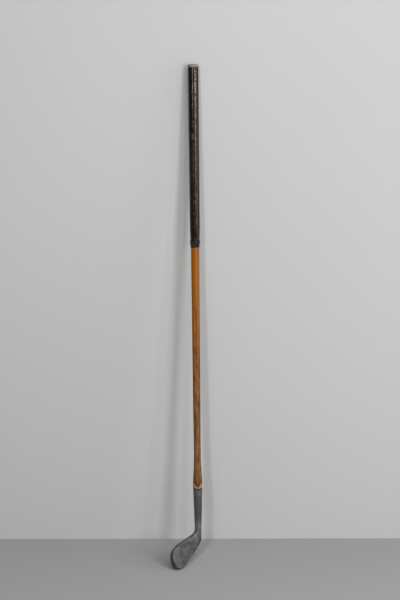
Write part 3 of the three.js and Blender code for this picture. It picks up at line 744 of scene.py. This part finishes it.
class HeadForm:
    """The forged head as a row of sections: hosel rings, a neck that turns through the lie
    angle about a point above the topline, and the blade's wedge out to the toe"""

    # Points on a section's corners, on its face and back, and on its sole and topline
    corner_points, long_points, short_points = 9, 14, 6
    # Rings in the socket, on its rim, below the rim, in the groove and down the hosel
    socket_rings, rim_rings, lip_rings, groove_rings, hosel_rings = 9, 6, 4, 12, 48
    # Rings on the straight neck, through the bend, along the blade and round the toe
    neck_rings, bend_rings, blade_rings, toe_rings = 10, 44, 34, 46
    # The last ring stops just short of the toe's tip
    toe_sweep = math.radians(88)
    # How much points crowd near corners, and the shape of the groove's hollow
    crowding, groove_shape = 0.6, 0.6
    # Edge marks over the whole rim, and on the face where it turns in at the toe, which the iron
    # paints darker: at the toe this is painted shade
    rim_wear, toe_wear = 0.2, 0.8
    # Rings before and after the joint of neck and blade that are evened out, and how often
    eased_before, eased_after, ease_rounds = 18, 6, 24
    # Width of the hammer's waves
    wave_width = 0.009

    def __init__(self, sizes):
        self.sizes = sizes
        levels = Levels(sizes)
        self.heel, self.hosel_top = levels.heel, levels.rim
        self.along_sole = Vector((-math.sin(sizes.lie), 0, -math.cos(sizes.lie)))
        self.up_from_sole = Vector((-math.cos(sizes.lie), 0, math.sin(sizes.lie)))
        self.forward = Vector((0, -1, 0))
        self.neck_radius = sizes.neck_diameter / 2
        self.pivot_depth = (sizes.heel_height * math.cos(sizes.loft)
                            + sizes.neck_fillet / math.cos(sizes.topline_slope))
        self.pivot_x = -(self.neck_radius + sizes.neck_fillet)
        self.neck_height = ((self.pivot_depth + self.pivot_x * math.cos(sizes.lie))
                            / math.sin(sizes.lie))
        self.pivot = Vector((self.pivot_x, 0, self.neck_height))
        self.blade_start = self.pivot.dot(self.along_sole)
        self.toe_start = sizes.blade_length - sizes.toe_above_tip
        self.bend_length = sizes.lie * (sizes.neck_fillet + self.neck_radius)
        self.point_count = 4 * self.corner_points + 2 * self.long_points + 2 * self.short_points

    def hosel(self, height):
        """Radius of the hosel at a height above the heel"""
        up = clamp((height - self.neck_height) / (self.hosel_top - self.neck_height))
        full = up + self.sizes.hosel_fullness * up * (1 - up)
        return mix(self.sizes.neck_diameter, self.sizes.rim_diameter, full) / 2

    def wedge_depth(self, height):
        up = clamp(height / self.sizes.toe_height)
        return mix(self.sizes.sole_thickness, self.sizes.topline_thickness, up)

    def corner(self, point, radius, before, after):
        """Rounded corner, from the side before it to the side after it"""
        return [point + before * radius * (1 - math.sin(turn))
                + after * radius * (1 - math.cos(turn))
                for turn in quarter_turn(self.corner_points)]

    def between(self, start, end, count, bulge):
        """Points between two corners, closer together near them"""
        row = []
        for step in range(1, count + 1):
            even = step / (count + 1)
            part = mix(even, smooth(even), self.crowding)
            row.append(start.lerp(end, part) + bulge * 4 * part * (1 - part))
        return row

    def toe_inset(self, along, radius):
        """How far an edge of this radius has already turned in from the toe's tip"""
        into = clamp(along - (self.sizes.blade_length - radius), 0.0, radius)
        return radius - math.sqrt(radius * radius - into * into)

    def wedge(self, along, low, high):
        """Wedge section and how near each point lies to a rounded edge. x runs up the face and
        y is the depth behind it."""
        sizes = self.sizes
        heel_share = 1 - smooth((along - self.blade_start) / sizes.heel_edge_fade)
        toe_share = smooth((along - self.toe_start) / sizes.toe_above_tip)
        face_inset = self.toe_inset(along, sizes.toe_face_round)
        back_inset = self.toe_inset(along, sizes.toe_back_round)
        low_back = Vector((low, self.wedge_depth(low) - back_inset))
        top_back = Vector((high, self.wedge_depth(high) - back_inset))
        up, down = Vector((1, 0)), Vector((-1, 0))
        back, front = Vector((0, 1)), Vector((0, -1))
        rise = (top_back - low_back).normalized()
        # No corner's radius takes more than a third of the section's height
        limit = (high - low) / 3
        top_limit = min(limit, (top_back.y - face_inset) / 2)

        def face_radius(plain, most):
            toe = mix(plain, sizes.toe_face_round, toe_share)
            return min(mix(toe, sizes.heel_edge_round, heel_share), most)

        topline = face_radius(sizes.topline_round, top_limit)
        leading = face_radius(sizes.leading_round, limit)
        corners = [
            self.corner(Vector((high, face_inset)), topline, back, down),
            self.corner(Vector((low, face_inset)), leading, up, back),
            self.corner(low_back, min(sizes.sole_back_round, limit), front, rise),
            self.corner(top_back, min(sizes.topline_round, top_limit), -rise, front),
        ]
        full = (high - low) / sizes.toe_height
        flat = Vector((0, 0))
        crown, belly = down * sizes.sole_camber * full, back * sizes.back_camber * full
        top = self.between(corners[3][-1], corners[0][0], self.short_points, flat)
        half = self.short_points // 2
        sides = [
            self.between(corners[0][-1], corners[1][0], self.long_points, flat),
            self.between(corners[1][-1], corners[2][0], self.short_points, crown),
            self.between(corners[2][-1], corners[3][0], self.long_points, belly),
            top[:half],
        ]
        points = top[half:]
        marks = [0.0] * len(points)
        for corner, side in zip(corners, sides):
            points += corner + side
            marks += [math.sin(2 * turn) for turn in quarter_turn(self.corner_points)]
            marks += [0.0] * len(side)
        return points, marks

    def round(self, low, high, radius):
        turns = [(step + 0.5) / self.point_count * TURN for step in range(self.point_count)]
        return [Vector((mix(low, high, (1 + math.cos(turn)) / 2), radius * (1 - math.sin(turn))))
                for turn in turns]

    def placed(self, point, rising, low, high, radius, part=0.0, along=0.0):
        """Section at a point of the neck's outer side or the sole line, between two distances
        from it along rising: the neck's round where part is 0, the leaned wedge where it is 1"""
        twist = self.sizes.loft * part
        up_face = rising * math.cos(twist) - self.forward * math.sin(twist)
        out_face = self.forward * math.cos(twist) + rising * math.sin(twist)
        origin = point + self.forward * mix(radius, self.sizes.leading_edge, part)
        low, high = low / math.cos(twist), high / math.cos(twist)
        points = self.round(low, high, radius)
        worn = [0.0] * len(points)
        if part > 0:
            wedge, worn = self.wedge(along, low, high)
            points = [a.lerp(b, part) for a, b in zip(points, wedge)]
            worn = [value * part * part for value in worn]
        return [origin + up_face * spot.x - out_face * spot.y for spot in points], worn

    def wedge_part(self, run):
        """How far the round neck has become the wedge after this run from the plain hosel"""
        return smooth(run / (self.sizes.neck_blend + self.bend_length + self.sizes.blade_blend))

    def outer_reach(self, turn):
        """From the bend's pivot to the neck's outer side or the sole line, eased at the heel"""
        to_neck = (self.neck_radius - self.pivot_x) / math.cos(turn)
        to_sole = self.pivot_depth / math.cos(self.sizes.lie - turn)
        blend = self.sizes.heel_blend
        near = clamp(1 - abs(to_neck - to_sole) / blend)
        return min(to_neck, to_sole) - near * near * blend / 4

    def inner_reach(self, turn):
        """From the bend's pivot to the fillet, and past it to the topline"""
        past = max(0.0, turn - (self.sizes.lie - self.sizes.topline_slope))
        return self.sizes.neck_fillet / math.cos(past)

    def hosel_part(self):
        """Rings from the socket's floor up its wall, over the rim and down the outside"""
        sizes, top = self.sizes, self.hosel_top
        rows = []
        for step in range(self.socket_rings):
            up = step / (self.socket_rings - 1)
            rows.append((mix(sizes.socket_floor, sizes.socket_mouth, up) / 2,
                         top - sizes.socket_depth * (1 - up), 0.0))
        rim = quarter_round(sizes.rim_diameter / 2, top, sizes.rim_round, self.rim_rings, -1)
        for (radius, height), turn in zip(rim, quarter_turn(self.rim_rings)):
            rows.append((radius, height, math.sin(2 * turn) + self.rim_wear))
        groove = top - sizes.groove_below_rim
        half = sizes.groove_width / 2
        for step in range(1, self.lip_rings + 1):
            height = mix(top - sizes.rim_round, groove + half, step / self.lip_rings)
            rows.append((self.hosel(height), height, 0.0))
        for step in range(1, self.groove_rings):
            down = step / self.groove_rings
            hollow = math.sin(down * math.pi)
            height = groove + sizes.groove_width * (0.5 - down)
            depth = sizes.groove_depth * hollow ** self.groove_shape
            rows.append((self.hosel(height) - depth, height, 1 - hollow))
        plain_low = self.neck_height + sizes.neck_blend
        rows += [(self.hosel(height), height, 0.0)
                 for height in evenly(groove - half, plain_low, self.hosel_rings)]
        inward = Vector((-1, 0, 0))
        rings = [self.placed(Vector((radius, 0, height)), inward, 0, 2 * radius, radius)[0]
                 for radius, height, _ in rows]
        return rings, [[mark] * self.point_count for _, _, mark in rows]

    def neck_part(self):
        """Rings down the straight neck and through the bend to the blade's start"""
        sizes = self.sizes
        stations = [(lift, 0.0) for lift in evenly(sizes.neck_blend, 0.0, self.neck_rings)]
        stations += [(0.0, turn) for turn in evenly(0.0, sizes.lie, self.bend_rings)]
        rings, marks = [], []
        for lift, turn in stations:
            radius = self.hosel(self.neck_height + lift)
            taper = radius - self.neck_radius
            rising = Vector((-math.cos(turn), 0, math.sin(turn)))
            outer = self.outer_reach(turn) + taper
            point = self.pivot - rising * outer + Vector((0, 0, lift))
            high = outer - self.inner_reach(turn) + taper
            part = self.wedge_part(sizes.neck_blend - lift + self.bend_length * turn / sizes.lie)
            ring, worn = self.placed(point, rising, 0, high, radius, part, self.blade_start)
            rings.append(ring)
            marks.append(worn)
        return rings, marks

    def low_edge(self, along):
        """Height of the blade's lower edge, from the heel to the toe's tip"""
        sizes = self.sizes
        round_start = sizes.blade_length - sizes.toe_below_tip
        run = clamp((along - self.blade_start) / (round_start - self.blade_start))
        turned = clamp((along - round_start) / sizes.toe_below_tip)
        sole = -sizes.sole_rocker * run * (2 - run)
        return mix(sizes.toe_tip_height, sole, math.sqrt(1 - turned * turned))

    def high_edge(self, along):
        """Height of the blade's upper edge, from the neck to the toe's tip"""
        sizes = self.sizes
        straight = self.toe_start - self.blade_start
        run = clamp((along - self.blade_start) / straight)
        turned = clamp((along - self.toe_start) / sizes.toe_above_tip)
        rise = straight * math.tan(sizes.topline_slope) * run * (1 - run) ** 2
        topline = mix(sizes.heel_height, sizes.toe_height, smooth(run)) + rise
        return mix(sizes.toe_tip_height, topline, math.sqrt(1 - turned * turned))

    def blade_part(self):
        """Rings along the blade and round the toe, closer together towards its tip"""
        sizes = self.sizes
        places = evenly(self.blade_start, self.toe_start, self.blade_rings)
        for step in range(self.toe_rings):
            turn = step / (self.toe_rings - 1) * self.toe_sweep
            places.append(self.toe_start + sizes.toe_above_tip * math.sin(turn))
        rings, marks = [], []
        for along in places:
            low = self.low_edge(along) * math.cos(sizes.loft)
            high = self.high_edge(along) * math.cos(sizes.loft)
            part = self.wedge_part(sizes.neck_blend + self.bend_length + along - self.blade_start)
            ring, worn = self.placed(self.along_sole * along, self.up_from_sole, low, high,
                                     self.neck_radius, part, along)
            into = self.toe_inset(along, sizes.toe_face_round) / sizes.toe_face_round
            rings.append(ring)
            marks.append([max(value, into * self.toe_wear) for value in worn])
        return rings, marks

    def ease(self, rings, joint):
        """Evens out the crease at the joint where the neck's rings meet the blade's"""
        for _ in range(self.ease_rounds):
            for row in range(joint - self.eased_before, joint + self.eased_after):
                both = zip(rings[row - 1], rings[row], rings[row + 1])
                rings[row] = [spot.lerp((before + after) / 2, 0.5) for before, spot, after in both]

    def forged(self):
        """All rings in the frame, from the toe, with the hammer's shallow waves outside"""
        parts = (self.hosel_part(), self.neck_part(), self.blade_part())
        rings = [ring for part_rings, _ in parts for ring in part_rings]
        marks = [row for _, part_marks in parts for row in part_marks]
        self.ease(rings, len(rings) - len(parts[2][0]))
        lift = Vector((0, 0, self.heel))
        for row, ring in enumerate(rings):
            middle = sum(ring, Vector()) / len(ring)
            deep = 0.0 if row < self.socket_rings else self.sizes.forging_wave
            rings[row] = [point + (point - middle).normalized()
                          * (deep * wave(point, self.wave_width)) + lift for point in ring]
        return rings[::-1], marks[::-1]


class CLUB_OT_forge_head(bpy.types.Operator):
    """Builds the forged iron head: hosel, neck and blade in one skin"""

    bl_idname = "club.forge_head"
    bl_label = "Forge the head"

    def execute(self, context):
        sizes = context.scene.club_head
        rings, marks = HeadForm(sizes).forged()
        head = skin("forged_head", rings, forged_iron(context.scene.club_colours, sizes), marks)
        keep_flats(head)
        settle(head, "iron_head")
        return {"FINISHED"}


class CLUB_OT_drive_pin(bpy.types.Operator):
    """Drives the rivet through the hosel and peens both ends"""

    bl_idname = "club.drive_pin"
    bl_label = "Drive the pin"
    sides, crown_points = 40, 7
    # Depth of the dents, the radius that they are laid out on, and their width
    dent = (0.00006, 0.001, 0.0008)

    def execute(self, context):
        radius = (PIN_HIGH.x - PIN_LOW.x) / 2
        reach = (PIN_HIGH.y - PIN_LOW.y) / 2
        crown = context.scene.club_head.pin_crown
        half = [(radius * math.sin(turn), crown * math.cos(turn) + reach - crown)
                for turn in quarter_turn(self.crown_points)[1:-1]]
        half += [(radius, reach - crown), (radius, reach - 2 * crown)]
        rows = [*half, *((width, -level) for width, level in reversed(half))]
        rings = turned_rings(rows, self.sides, dents(*self.dent))
        middle = Matrix.Translation((0, 0, (PIN_HIGH.z + PIN_LOW.z) / 2))
        rings = carried(rings, middle @ Matrix.Rotation(-math.pi / 2, 4, "X"))
        pin = skin("peened_pin", rings[::-1], pin_steel(context.scene.club_colours))
        settle(pin, "hosel_pin")
        return {"FINISHED"}


# Hickory shaft


def shaft_radius(sizes, height, levels):
    """Radius of the wood at a height above the heel"""
    waist = sizes.waist_diameter / 2
    waist_height = levels.rim + sizes.waist_above_rim
    if height > waist_height:
        up = clamp((height - waist_height) / (levels.grip_top - waist_height))
        return mix(waist, sizes.grip_seat / 2, math.sqrt(up))
    flare = 1 - (height - levels.rim - sizes.flare_straight) / sizes.flare_length
    return mix(waist, sizes.shoulder_diameter / 2, smooth(flare))


class CLUB_OT_shape_shaft(bpy.types.Operator):
    """Builds the hickory shaft: spigot, flared shoulder, slim waist, long taper and round butt"""

    bl_idname = "club.shape_shaft"
    bl_label = "Shape the shaft"
    sides, edge_points, taper_rings, butt_points, flat_rings = 96, 5, 190, 17, 4
    # Width of the plane's waves, how far heights are squeezed to draw them out along the shaft,
    # and the radius that they are laid out on
    wave_width, wave_squeeze, wave_radius = 0.0035, 0.12, 0.008

    def execute(self, context):
        sizes = context.scene.club_shaft
        head = context.scene.club_head
        levels = Levels(head)
        gap, edge = sizes.joint_gap, sizes.broken_edge
        shoulder, top = levels.rim + gap, levels.grip_top + gap
        start = shoulder + 2 * edge
        spigot = head.socket_mouth / 2 - gap
        rows = [(head.socket_floor / 2 - gap, shoulder - head.socket_depth),
                (spigot, levels.rim), (spigot, shoulder)]
        rows += quarter_round(sizes.shoulder_diameter / 2, shoulder, edge, self.edge_points, 1)
        rows += [(shaft_radius(sizes, height, levels), height)
                 for height in evenly(start, top, self.taper_rings)]
        butt = sizes.butt_diameter / 2
        flat = butt - sizes.butt_round
        rows += [(shaft_radius(sizes, top, levels), top), (butt - edge, top), (butt, top + edge)]
        rounded = quarter_round(butt, head.club_length, sizes.butt_round, self.butt_points, -1)
        rows += reversed(rounded[:-1])
        rows += [(flat * (1 - step / (self.flat_rings + 1)), head.club_length)
                 for step in range(1, self.flat_rings + 1)]

        def planed(turn, height):
            if height < start or height > top:
                return 0.0
            spot = arm(self.wave_radius, turn, height * self.wave_squeeze)
            return sizes.plane_wave * wave(spot, self.wave_width)

        lift = Matrix.Translation((0, 0, levels.heel))
        rings = carried(turned_rings(rows, self.sides, planed), lift)
        shaft = skin("hickory_stick", rings, hickory(context.scene.club_colours))
        keep_flats(shaft)
        settle(shaft, "hickory_shaft")
        return {"FINISHED"}


# Grip


def leather_radius(sizes, height, foot):
    """Outside of the leather at a height above the heel"""
    swell = clamp((height - foot) / sizes.swell_length)
    skive = clamp(1 - (height - foot) / sizes.skive_length)
    return mix(sizes.lower_diameter, sizes.upper_diameter, swell) / 2 - sizes.skive_depth * skive


def tack_top(node):
    """Outermost point of a tack's head"""
    points = [vertex.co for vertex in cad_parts[node].data.vertices]
    return max(points, key=lambda point: point.x * point.x + point.y * point.y)


class CLUB_OT_wrap_grip(bpy.types.Operator):
    """Winds the leather strip from the butt down, with pressed seams. The strip's ends are cut
    to a point, so that the grip ends square."""

    bl_idname = "club.wrap_grip"
    bl_label = "Wrap the grip"
    steps_a_turn, steps_across = 72, 22
    # Points crowd near the strip's edges, and the very edge lies a little deeper
    crowding, edge_fall = 0.75, 1.15
    # Widths of the broad and the fine hollows that hands wear
    broad_hollow, fine_hollow = 0.013, 0.004
    # The leather is pressed in under a tack by this part of the head's height, and by less from
    # this many head widths away
    tack_sink, sink_fade = 0.35, 0.4
    # The edges are pressed in fully where the strip is this many seam shoulders wide
    full_press = 3
    # How fast the scuffed edge fades, and the noise by which the seam strays
    scuff_fade, stray = 0.8, (1.9, (0.3, 0.7))

    def execute(self, context):
        scene = context.scene
        rings, marks = self.wound(scene.club_grip, scene.club_shaft, Levels(scene.club_head))
        strip = skin("wound_leather", rings, grip_leather(scene.club_colours), marks)
        settle(strip, "leather_grip")
        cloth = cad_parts["grip_underlay"]
        cloth.data.materials.clear()
        cloth.data.materials.append(list_cloth(scene.club_colours))
        return {"FINISHED"}

    def wound(self, sizes, shaft, levels):
        """Sections across the strip, along its spiral, and how near each point is to an edge"""
        foot, top = levels.foot, levels.grip_top
        half = (sizes.strip_pitch - sizes.seam) / 2
        first = top - sizes.strip_end + half
        last = foot + sizes.strip_end - half
        turn_count = (first - last) / sizes.strip_pitch
        tacks = [tack_top("butt_tack"), tack_top("lower_tack")]
        lift = Vector((0, 0, levels.heel))

        def strayed(turns):
            return sizes.seam_wander * spiral_noise(turns, *self.stray)

        rings, marks = [], []
        for turns in spiral_steps(turn_count, self.steps_a_turn):
            turn = sizes.strip_start + turns * TURN
            middle = first - sizes.strip_pitch * turns
            upper = min(top, middle + half + strayed(turns - 1))
            lower = max(foot, middle - half + strayed(turns))
            wide = (upper - lower) / sizes.seam_shoulder
            pressed = sizes.seam_dip * min(1.0, wide / self.full_press)
            ring, worn = [], []
            for side in range(self.steps_across + 1):
                even = side / self.steps_across
                height = mix(upper, lower, mix(even, smooth(even), self.crowding))
                near = min(height - lower, upper - height) / sizes.seam_shoulder
                fall = 1 - smooth(near) if 0 < side < self.steps_across else self.edge_fall
                outside = leather_radius(sizes, height, foot)
                spot = arm(outside, turn, height)
                lump = wave(spot, self.broad_hollow) + wave(spot, self.fine_hollow) / 3
                radius = outside - pressed * fall - sizes.hand_wear * (1 - lump)
                for tack in tacks:
                    far = (spot + lift - tack).length / sizes.tack_head
                    radius -= sizes.tack_dome * self.tack_sink * (1 - smooth(far - self.sink_fade))
                ring.append(arm(radius, turn, height) + lift)
                worn.append(1 - clamp(near * self.scuff_fade))
            for height in (lower, mix(lower, upper, 0.5), upper):
                inside = max(leather_radius(sizes, height, foot) - sizes.leather_thickness,
                             shaft_radius(shaft, height, levels) + sizes.layer_gap)
                ring.append(arm(inside, turn, height) + lift)
                worn.append(0.0)
            rings.append(ring)
            marks.append(worn)
        return rings, marks


class CLUB_OT_drive_tacks(bpy.types.Operator):
    """Drives the two small brass tacks that hold the leather's ends"""

    bl_idname = "club.drive_tacks"
    bl_label = "Drive the tacks"
    sides, dome_points, tip_radius = 32, 13, 0.00008
    # Depth of the dents, the radius that they are laid out on, and their width
    dent = (0.00005, 0.002, 0.0012)

    def execute(self, context):
        sizes = context.scene.club_grip
        brass = tarnished_brass(context.scene.club_colours)
        for node, name in (("butt_tack", "upper_tack"), ("lower_tack", "foot_tack")):
            top = tack_top(node)
            seat = math.hypot(top.x, top.y) - sizes.tack_dome
            point = seat - sizes.tack_length
            shank = sizes.tack_shank / 2
            rows = [(self.tip_radius, point), (shank, point + sizes.tack_shank), (shank, seat)]
            rows += [(sizes.tack_head / 2 * math.cos(turn), seat + sizes.tack_dome * math.sin(turn))
                     for turn in quarter_turn(self.dome_points)[:-1]]
            rings = turned_rings(rows, self.sides, dents(*self.dent))
            swing = Euler((0, math.pi / 2, math.atan2(top.y, top.x))).to_matrix().to_4x4()
            tack = skin(name, carried(rings, Matrix.Translation((0, 0, top.z)) @ swing), brass)
            settle(tack, node)
        return {"FINISHED"}


class CLUB_OT_bind_whipping(bpy.types.Operator):
    """Winds the waxed thread, turn against turn, over the leather's foot and onto the wood"""

    bl_idname = "club.bind_whipping"
    bl_label = "Bind the whipping"
    steps_a_turn, steps_round = 56, 10
    # How unevenly the thread lies out from the shaft and along it, and the noise for each
    sway, slip = 0.00004, 0.00003
    sway_noise, slip_noise = (3.1, (0.2, 0.9)), (2.3, (4.1, 0.5))

    def execute(self, context):
        sizes, shaft = context.scene.club_grip, context.scene.club_shaft
        levels = Levels(context.scene.club_head)
        foot = levels.foot
        half = sizes.thread_diameter / 2
        top, low = WHIPPING_TOP - levels.heel - half, WHIPPING_FOOT - levels.heel + half
        turn_count = (top - low) / sizes.thread_pitch
        rings = []
        for turns in spiral_steps(turn_count, self.steps_a_turn):
            turn = turns * TURN
            height = mix(top, low, turns / turn_count)
            on_leather = leather_radius(sizes, max(height, foot), foot)
            on_wood = shaft_radius(shaft, height, levels)
            seat = mix(on_leather, on_wood, smooth((foot - half - height) / sizes.thread_diameter))
            middle = seat + sizes.layer_gap / 2 + half
            middle += self.sway * spiral_noise(turns, *self.sway_noise)
            height += self.slip * spiral_noise(turns, *self.slip_noise) + levels.heel
            rings.append([arm(middle + half * math.cos(side), turn, height - half * math.sin(side))
                          for side in evenly(0.0, TURN, self.steps_round)])
        thread = pitched_thread(context.scene.club_colours, sizes,
                                shaft_radius(shaft, foot, levels))
        whipping = skin("thread_whipping", rings, thread)
        settle(whipping, "lower_whipping")
        return {"FINISHED"}


# Stage


def stage_material(name, tone, see_through_back):
    """Plain pale surface. With a see-through back it shows only to the camera and in
    reflections, from its front, and lets all other light through."""
    material, nodes, place = new_material(name)
    cloud = nodes.fade(nodes.noise(place, 1.3, 2, 0.5), 0.3, 0.7)
    paint = nodes.shade(Base_Color=nodes.layers(tone, (cloud, 0.06, STAGE_CLOUD)), Roughness=0.9,
                        Specular_IOR_Level=0.1)
    if see_through_back:
        path = nodes.add("ShaderNodeLightPath").node.outputs
        seen = nodes.most(path["Is Camera Ray"], path["Is Glossy Ray"])
        back = nodes.add("ShaderNodeNewGeometry", output="Backfacing")
        shown = nodes.times(seen, nodes.less(1.0, back))
        nodes.show("Material Output", shown, nodes.add("ShaderNodeBsdfTransparent"), paint)
    return material


def stage_sheet(name, middle, first, second, corners, material):
    """Flat sheet whose corners are counted in first and second from its middle"""
    points = [middle + first * a + second * b for a, b in corners]
    mesh = bpy.data.meshes.new(name)
    mesh.from_pydata(points, [], [(0, 1, 2, 3)])
    mesh.materials.append(material)
    sheet = linked(name, mesh)


def strip_light(name, place, target, width, height, power):
    data = bpy.data.lights.new(name, "AREA")
    data.shape = "RECTANGLE"
    data.size = width
    data.size_y = height
    data.energy = power
    lamp = linked(name, data)
    lamp.location = place
    lamp.rotation_euler = (target - place).to_track_quat("-Z", "Y").to_euler()


def farthest(node, direction):
    """The point of a CAD node that lies farthest in a direction"""
    return max((vertex.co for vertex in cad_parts[node].data.vertices), key=direction.dot)


class CLUB_OT_set_stage(bpy.types.Operator):
    """Sets the floor, the backdrop, the lamps, the world and the camera"""

    bl_idname = "club.set_stage"
    bl_label = "Set the stage"

    def execute(self, context):
        scene = context.scene
        sizes = scene.club_stage
        colours = scene.club_colours
        bearing = math.pi + sizes.camera_azimuth
        near = Vector((math.cos(bearing), math.sin(bearing), 0))
        place = near * sizes.camera_distance + Vector((0, 0, sizes.camera_height))
        # The club stands along Z, so the room leans instead
        side = Vector((-near.y, near.x, 0))
        lean = Matrix.Rotation(-sizes.lean_left, 3, near)
        lean = lean @ Matrix.Rotation(sizes.lean_back, 3, side)
        up = lean @ Vector((0, 0, 1))
        near = (near - up * near.dot(up)).normalized()
        right = up.cross(near)
        half = sizes.stage_size / 2
        ground = up * up.dot(farthest("iron_head", -up))
        back = -near * (sizes.wall_gap - near.dot(farthest("hickory_shaft", -near)))
        stage_sheet("floor", ground, near * half, right * half,
                    ((1, -1), (1, 1), (-1, 1), (-1, -1)),
                    stage_material("floor_paint", colours.floor, False))
        stage_sheet("backdrop", ground + back, right * half, up * half,
                    ((-1, 0), (1, 0), (1, 1), (-1, 1)),
                    stage_material("wall_paint", colours.wall, True))
        target = up * mix(HEAD_FOOT, BUTT_END, LAMP_TARGET)
        for name, degrees, far, width, tall, lift, power in LAMPS:
            turn = math.radians(degrees)
            lamp = (near * math.cos(turn) + right * math.sin(turn)) * far + up * lift
            strip_light(name, lamp, target, width, tall, power)
        self.set_world(scene)
        self.set_camera(scene, sizes, place, up)
        scene.view_settings.view_transform = "Standard"
        return {"FINISHED"}

    @staticmethod
    def set_world(scene):
        """Soft white light, behind which the camera sees a pale grey"""
        world = bpy.data.worlds.new("soft_world")
        world.use_nodes = True
        nodes = Nodes(world.node_tree)
        path = nodes.add("ShaderNodeLightPath").node.outputs
        light = nodes.fill(world.node_tree.nodes["Background"],
                           {"Color": (1, 1, 1, 1), "Strength": WORLD_STRENGTH})
        pale = nodes.add("ShaderNodeBackground", {"Color": WORLD_SEEN, "Strength": 1.0})
        nodes.show("World Output", path["Is Camera Ray"], light.outputs[0], pale)
        scene.world = world

    @staticmethod
    def set_camera(scene, sizes, place, up):
        data = bpy.data.cameras.new("camera")
        data.sensor_width = 36
        data.lens = sizes.focal_length
        data.dof.use_dof = False
        camera = linked("camera", data)
        level = Vector((-place.x, -place.y, 0)).normalized()
        across = level.cross(Vector((0, 0, 1)))
        level = level * math.cos(sizes.camera_yaw) + across * math.sin(sizes.camera_yaw)
        drop = Vector((0, 0, math.sin(sizes.camera_pitch)))
        forward = level * math.cos(sizes.camera_pitch) - drop
        side = forward.cross(up).normalized()
        axes = Matrix((side, side.cross(forward), -forward)).transposed().to_4x4()
        camera.matrix_world = Matrix.Translation(place) @ axes
        scene.camera = camera


class CLUB_PT_club(bpy.types.Panel):
    """Sizes, colours and steps of the club"""

    bl_idname = "CLUB_PT_club"
    bl_label = "Club"
    bl_space_type = "VIEW_3D"
    bl_region_type = "UI"
    bl_category = "Club"

    def draw(self, context):
        layout = self.layout
        for operator in OPERATORS:
            layout.operator(operator.bl_idname)
        for group in GROUPS:
            settings = getattr(context.scene, group)
            box = layout.box()
            box.label(text=group.replace("_", " "))
            for name in settings.bl_rna.properties.keys():
                if name not in ("rna_type", "name"):
                    box.prop(settings, name)


OPERATORS = (
    CLUB_OT_forge_head,
    CLUB_OT_drive_pin,
    CLUB_OT_shape_shaft,
    CLUB_OT_wrap_grip,
    CLUB_OT_drive_tacks,
    CLUB_OT_bind_whipping,
    CLUB_OT_set_stage,
)
GROUPS = {
    "club_head": ClubHeadSizes,
    "club_shaft": ClubShaftSizes,
    "club_grip": ClubGripSizes,
    "club_colours": ClubColours,
    "club_stage": ClubStageSizes,
}


def register():
    for name, group in GROUPS.items():
        bpy.utils.register_class(group)
        setattr(bpy.types.Scene, name, bpy.props.PointerProperty(type=group))
    for operator in OPERATORS:
        bpy.utils.register_class(operator)
    bpy.utils.register_class(CLUB_PT_club)


def unregister():
    bpy.utils.unregister_class(CLUB_PT_club)
    for operator in reversed(OPERATORS):
        bpy.utils.unregister_class(operator)
    for name, group in reversed(GROUPS.items()):
        delattr(bpy.types.Scene, name)
        bpy.utils.unregister_class(group)


def main():
    register()
    bpy.ops.club.forge_head()
    bpy.ops.club.drive_pin()
    bpy.ops.club.shape_shaft()
    bpy.ops.club.wrap_grip()
    bpy.ops.club.drive_tacks()
    bpy.ops.club.bind_whipping()
    bpy.ops.club.set_stage()


if __name__ == "__main__":
    main()
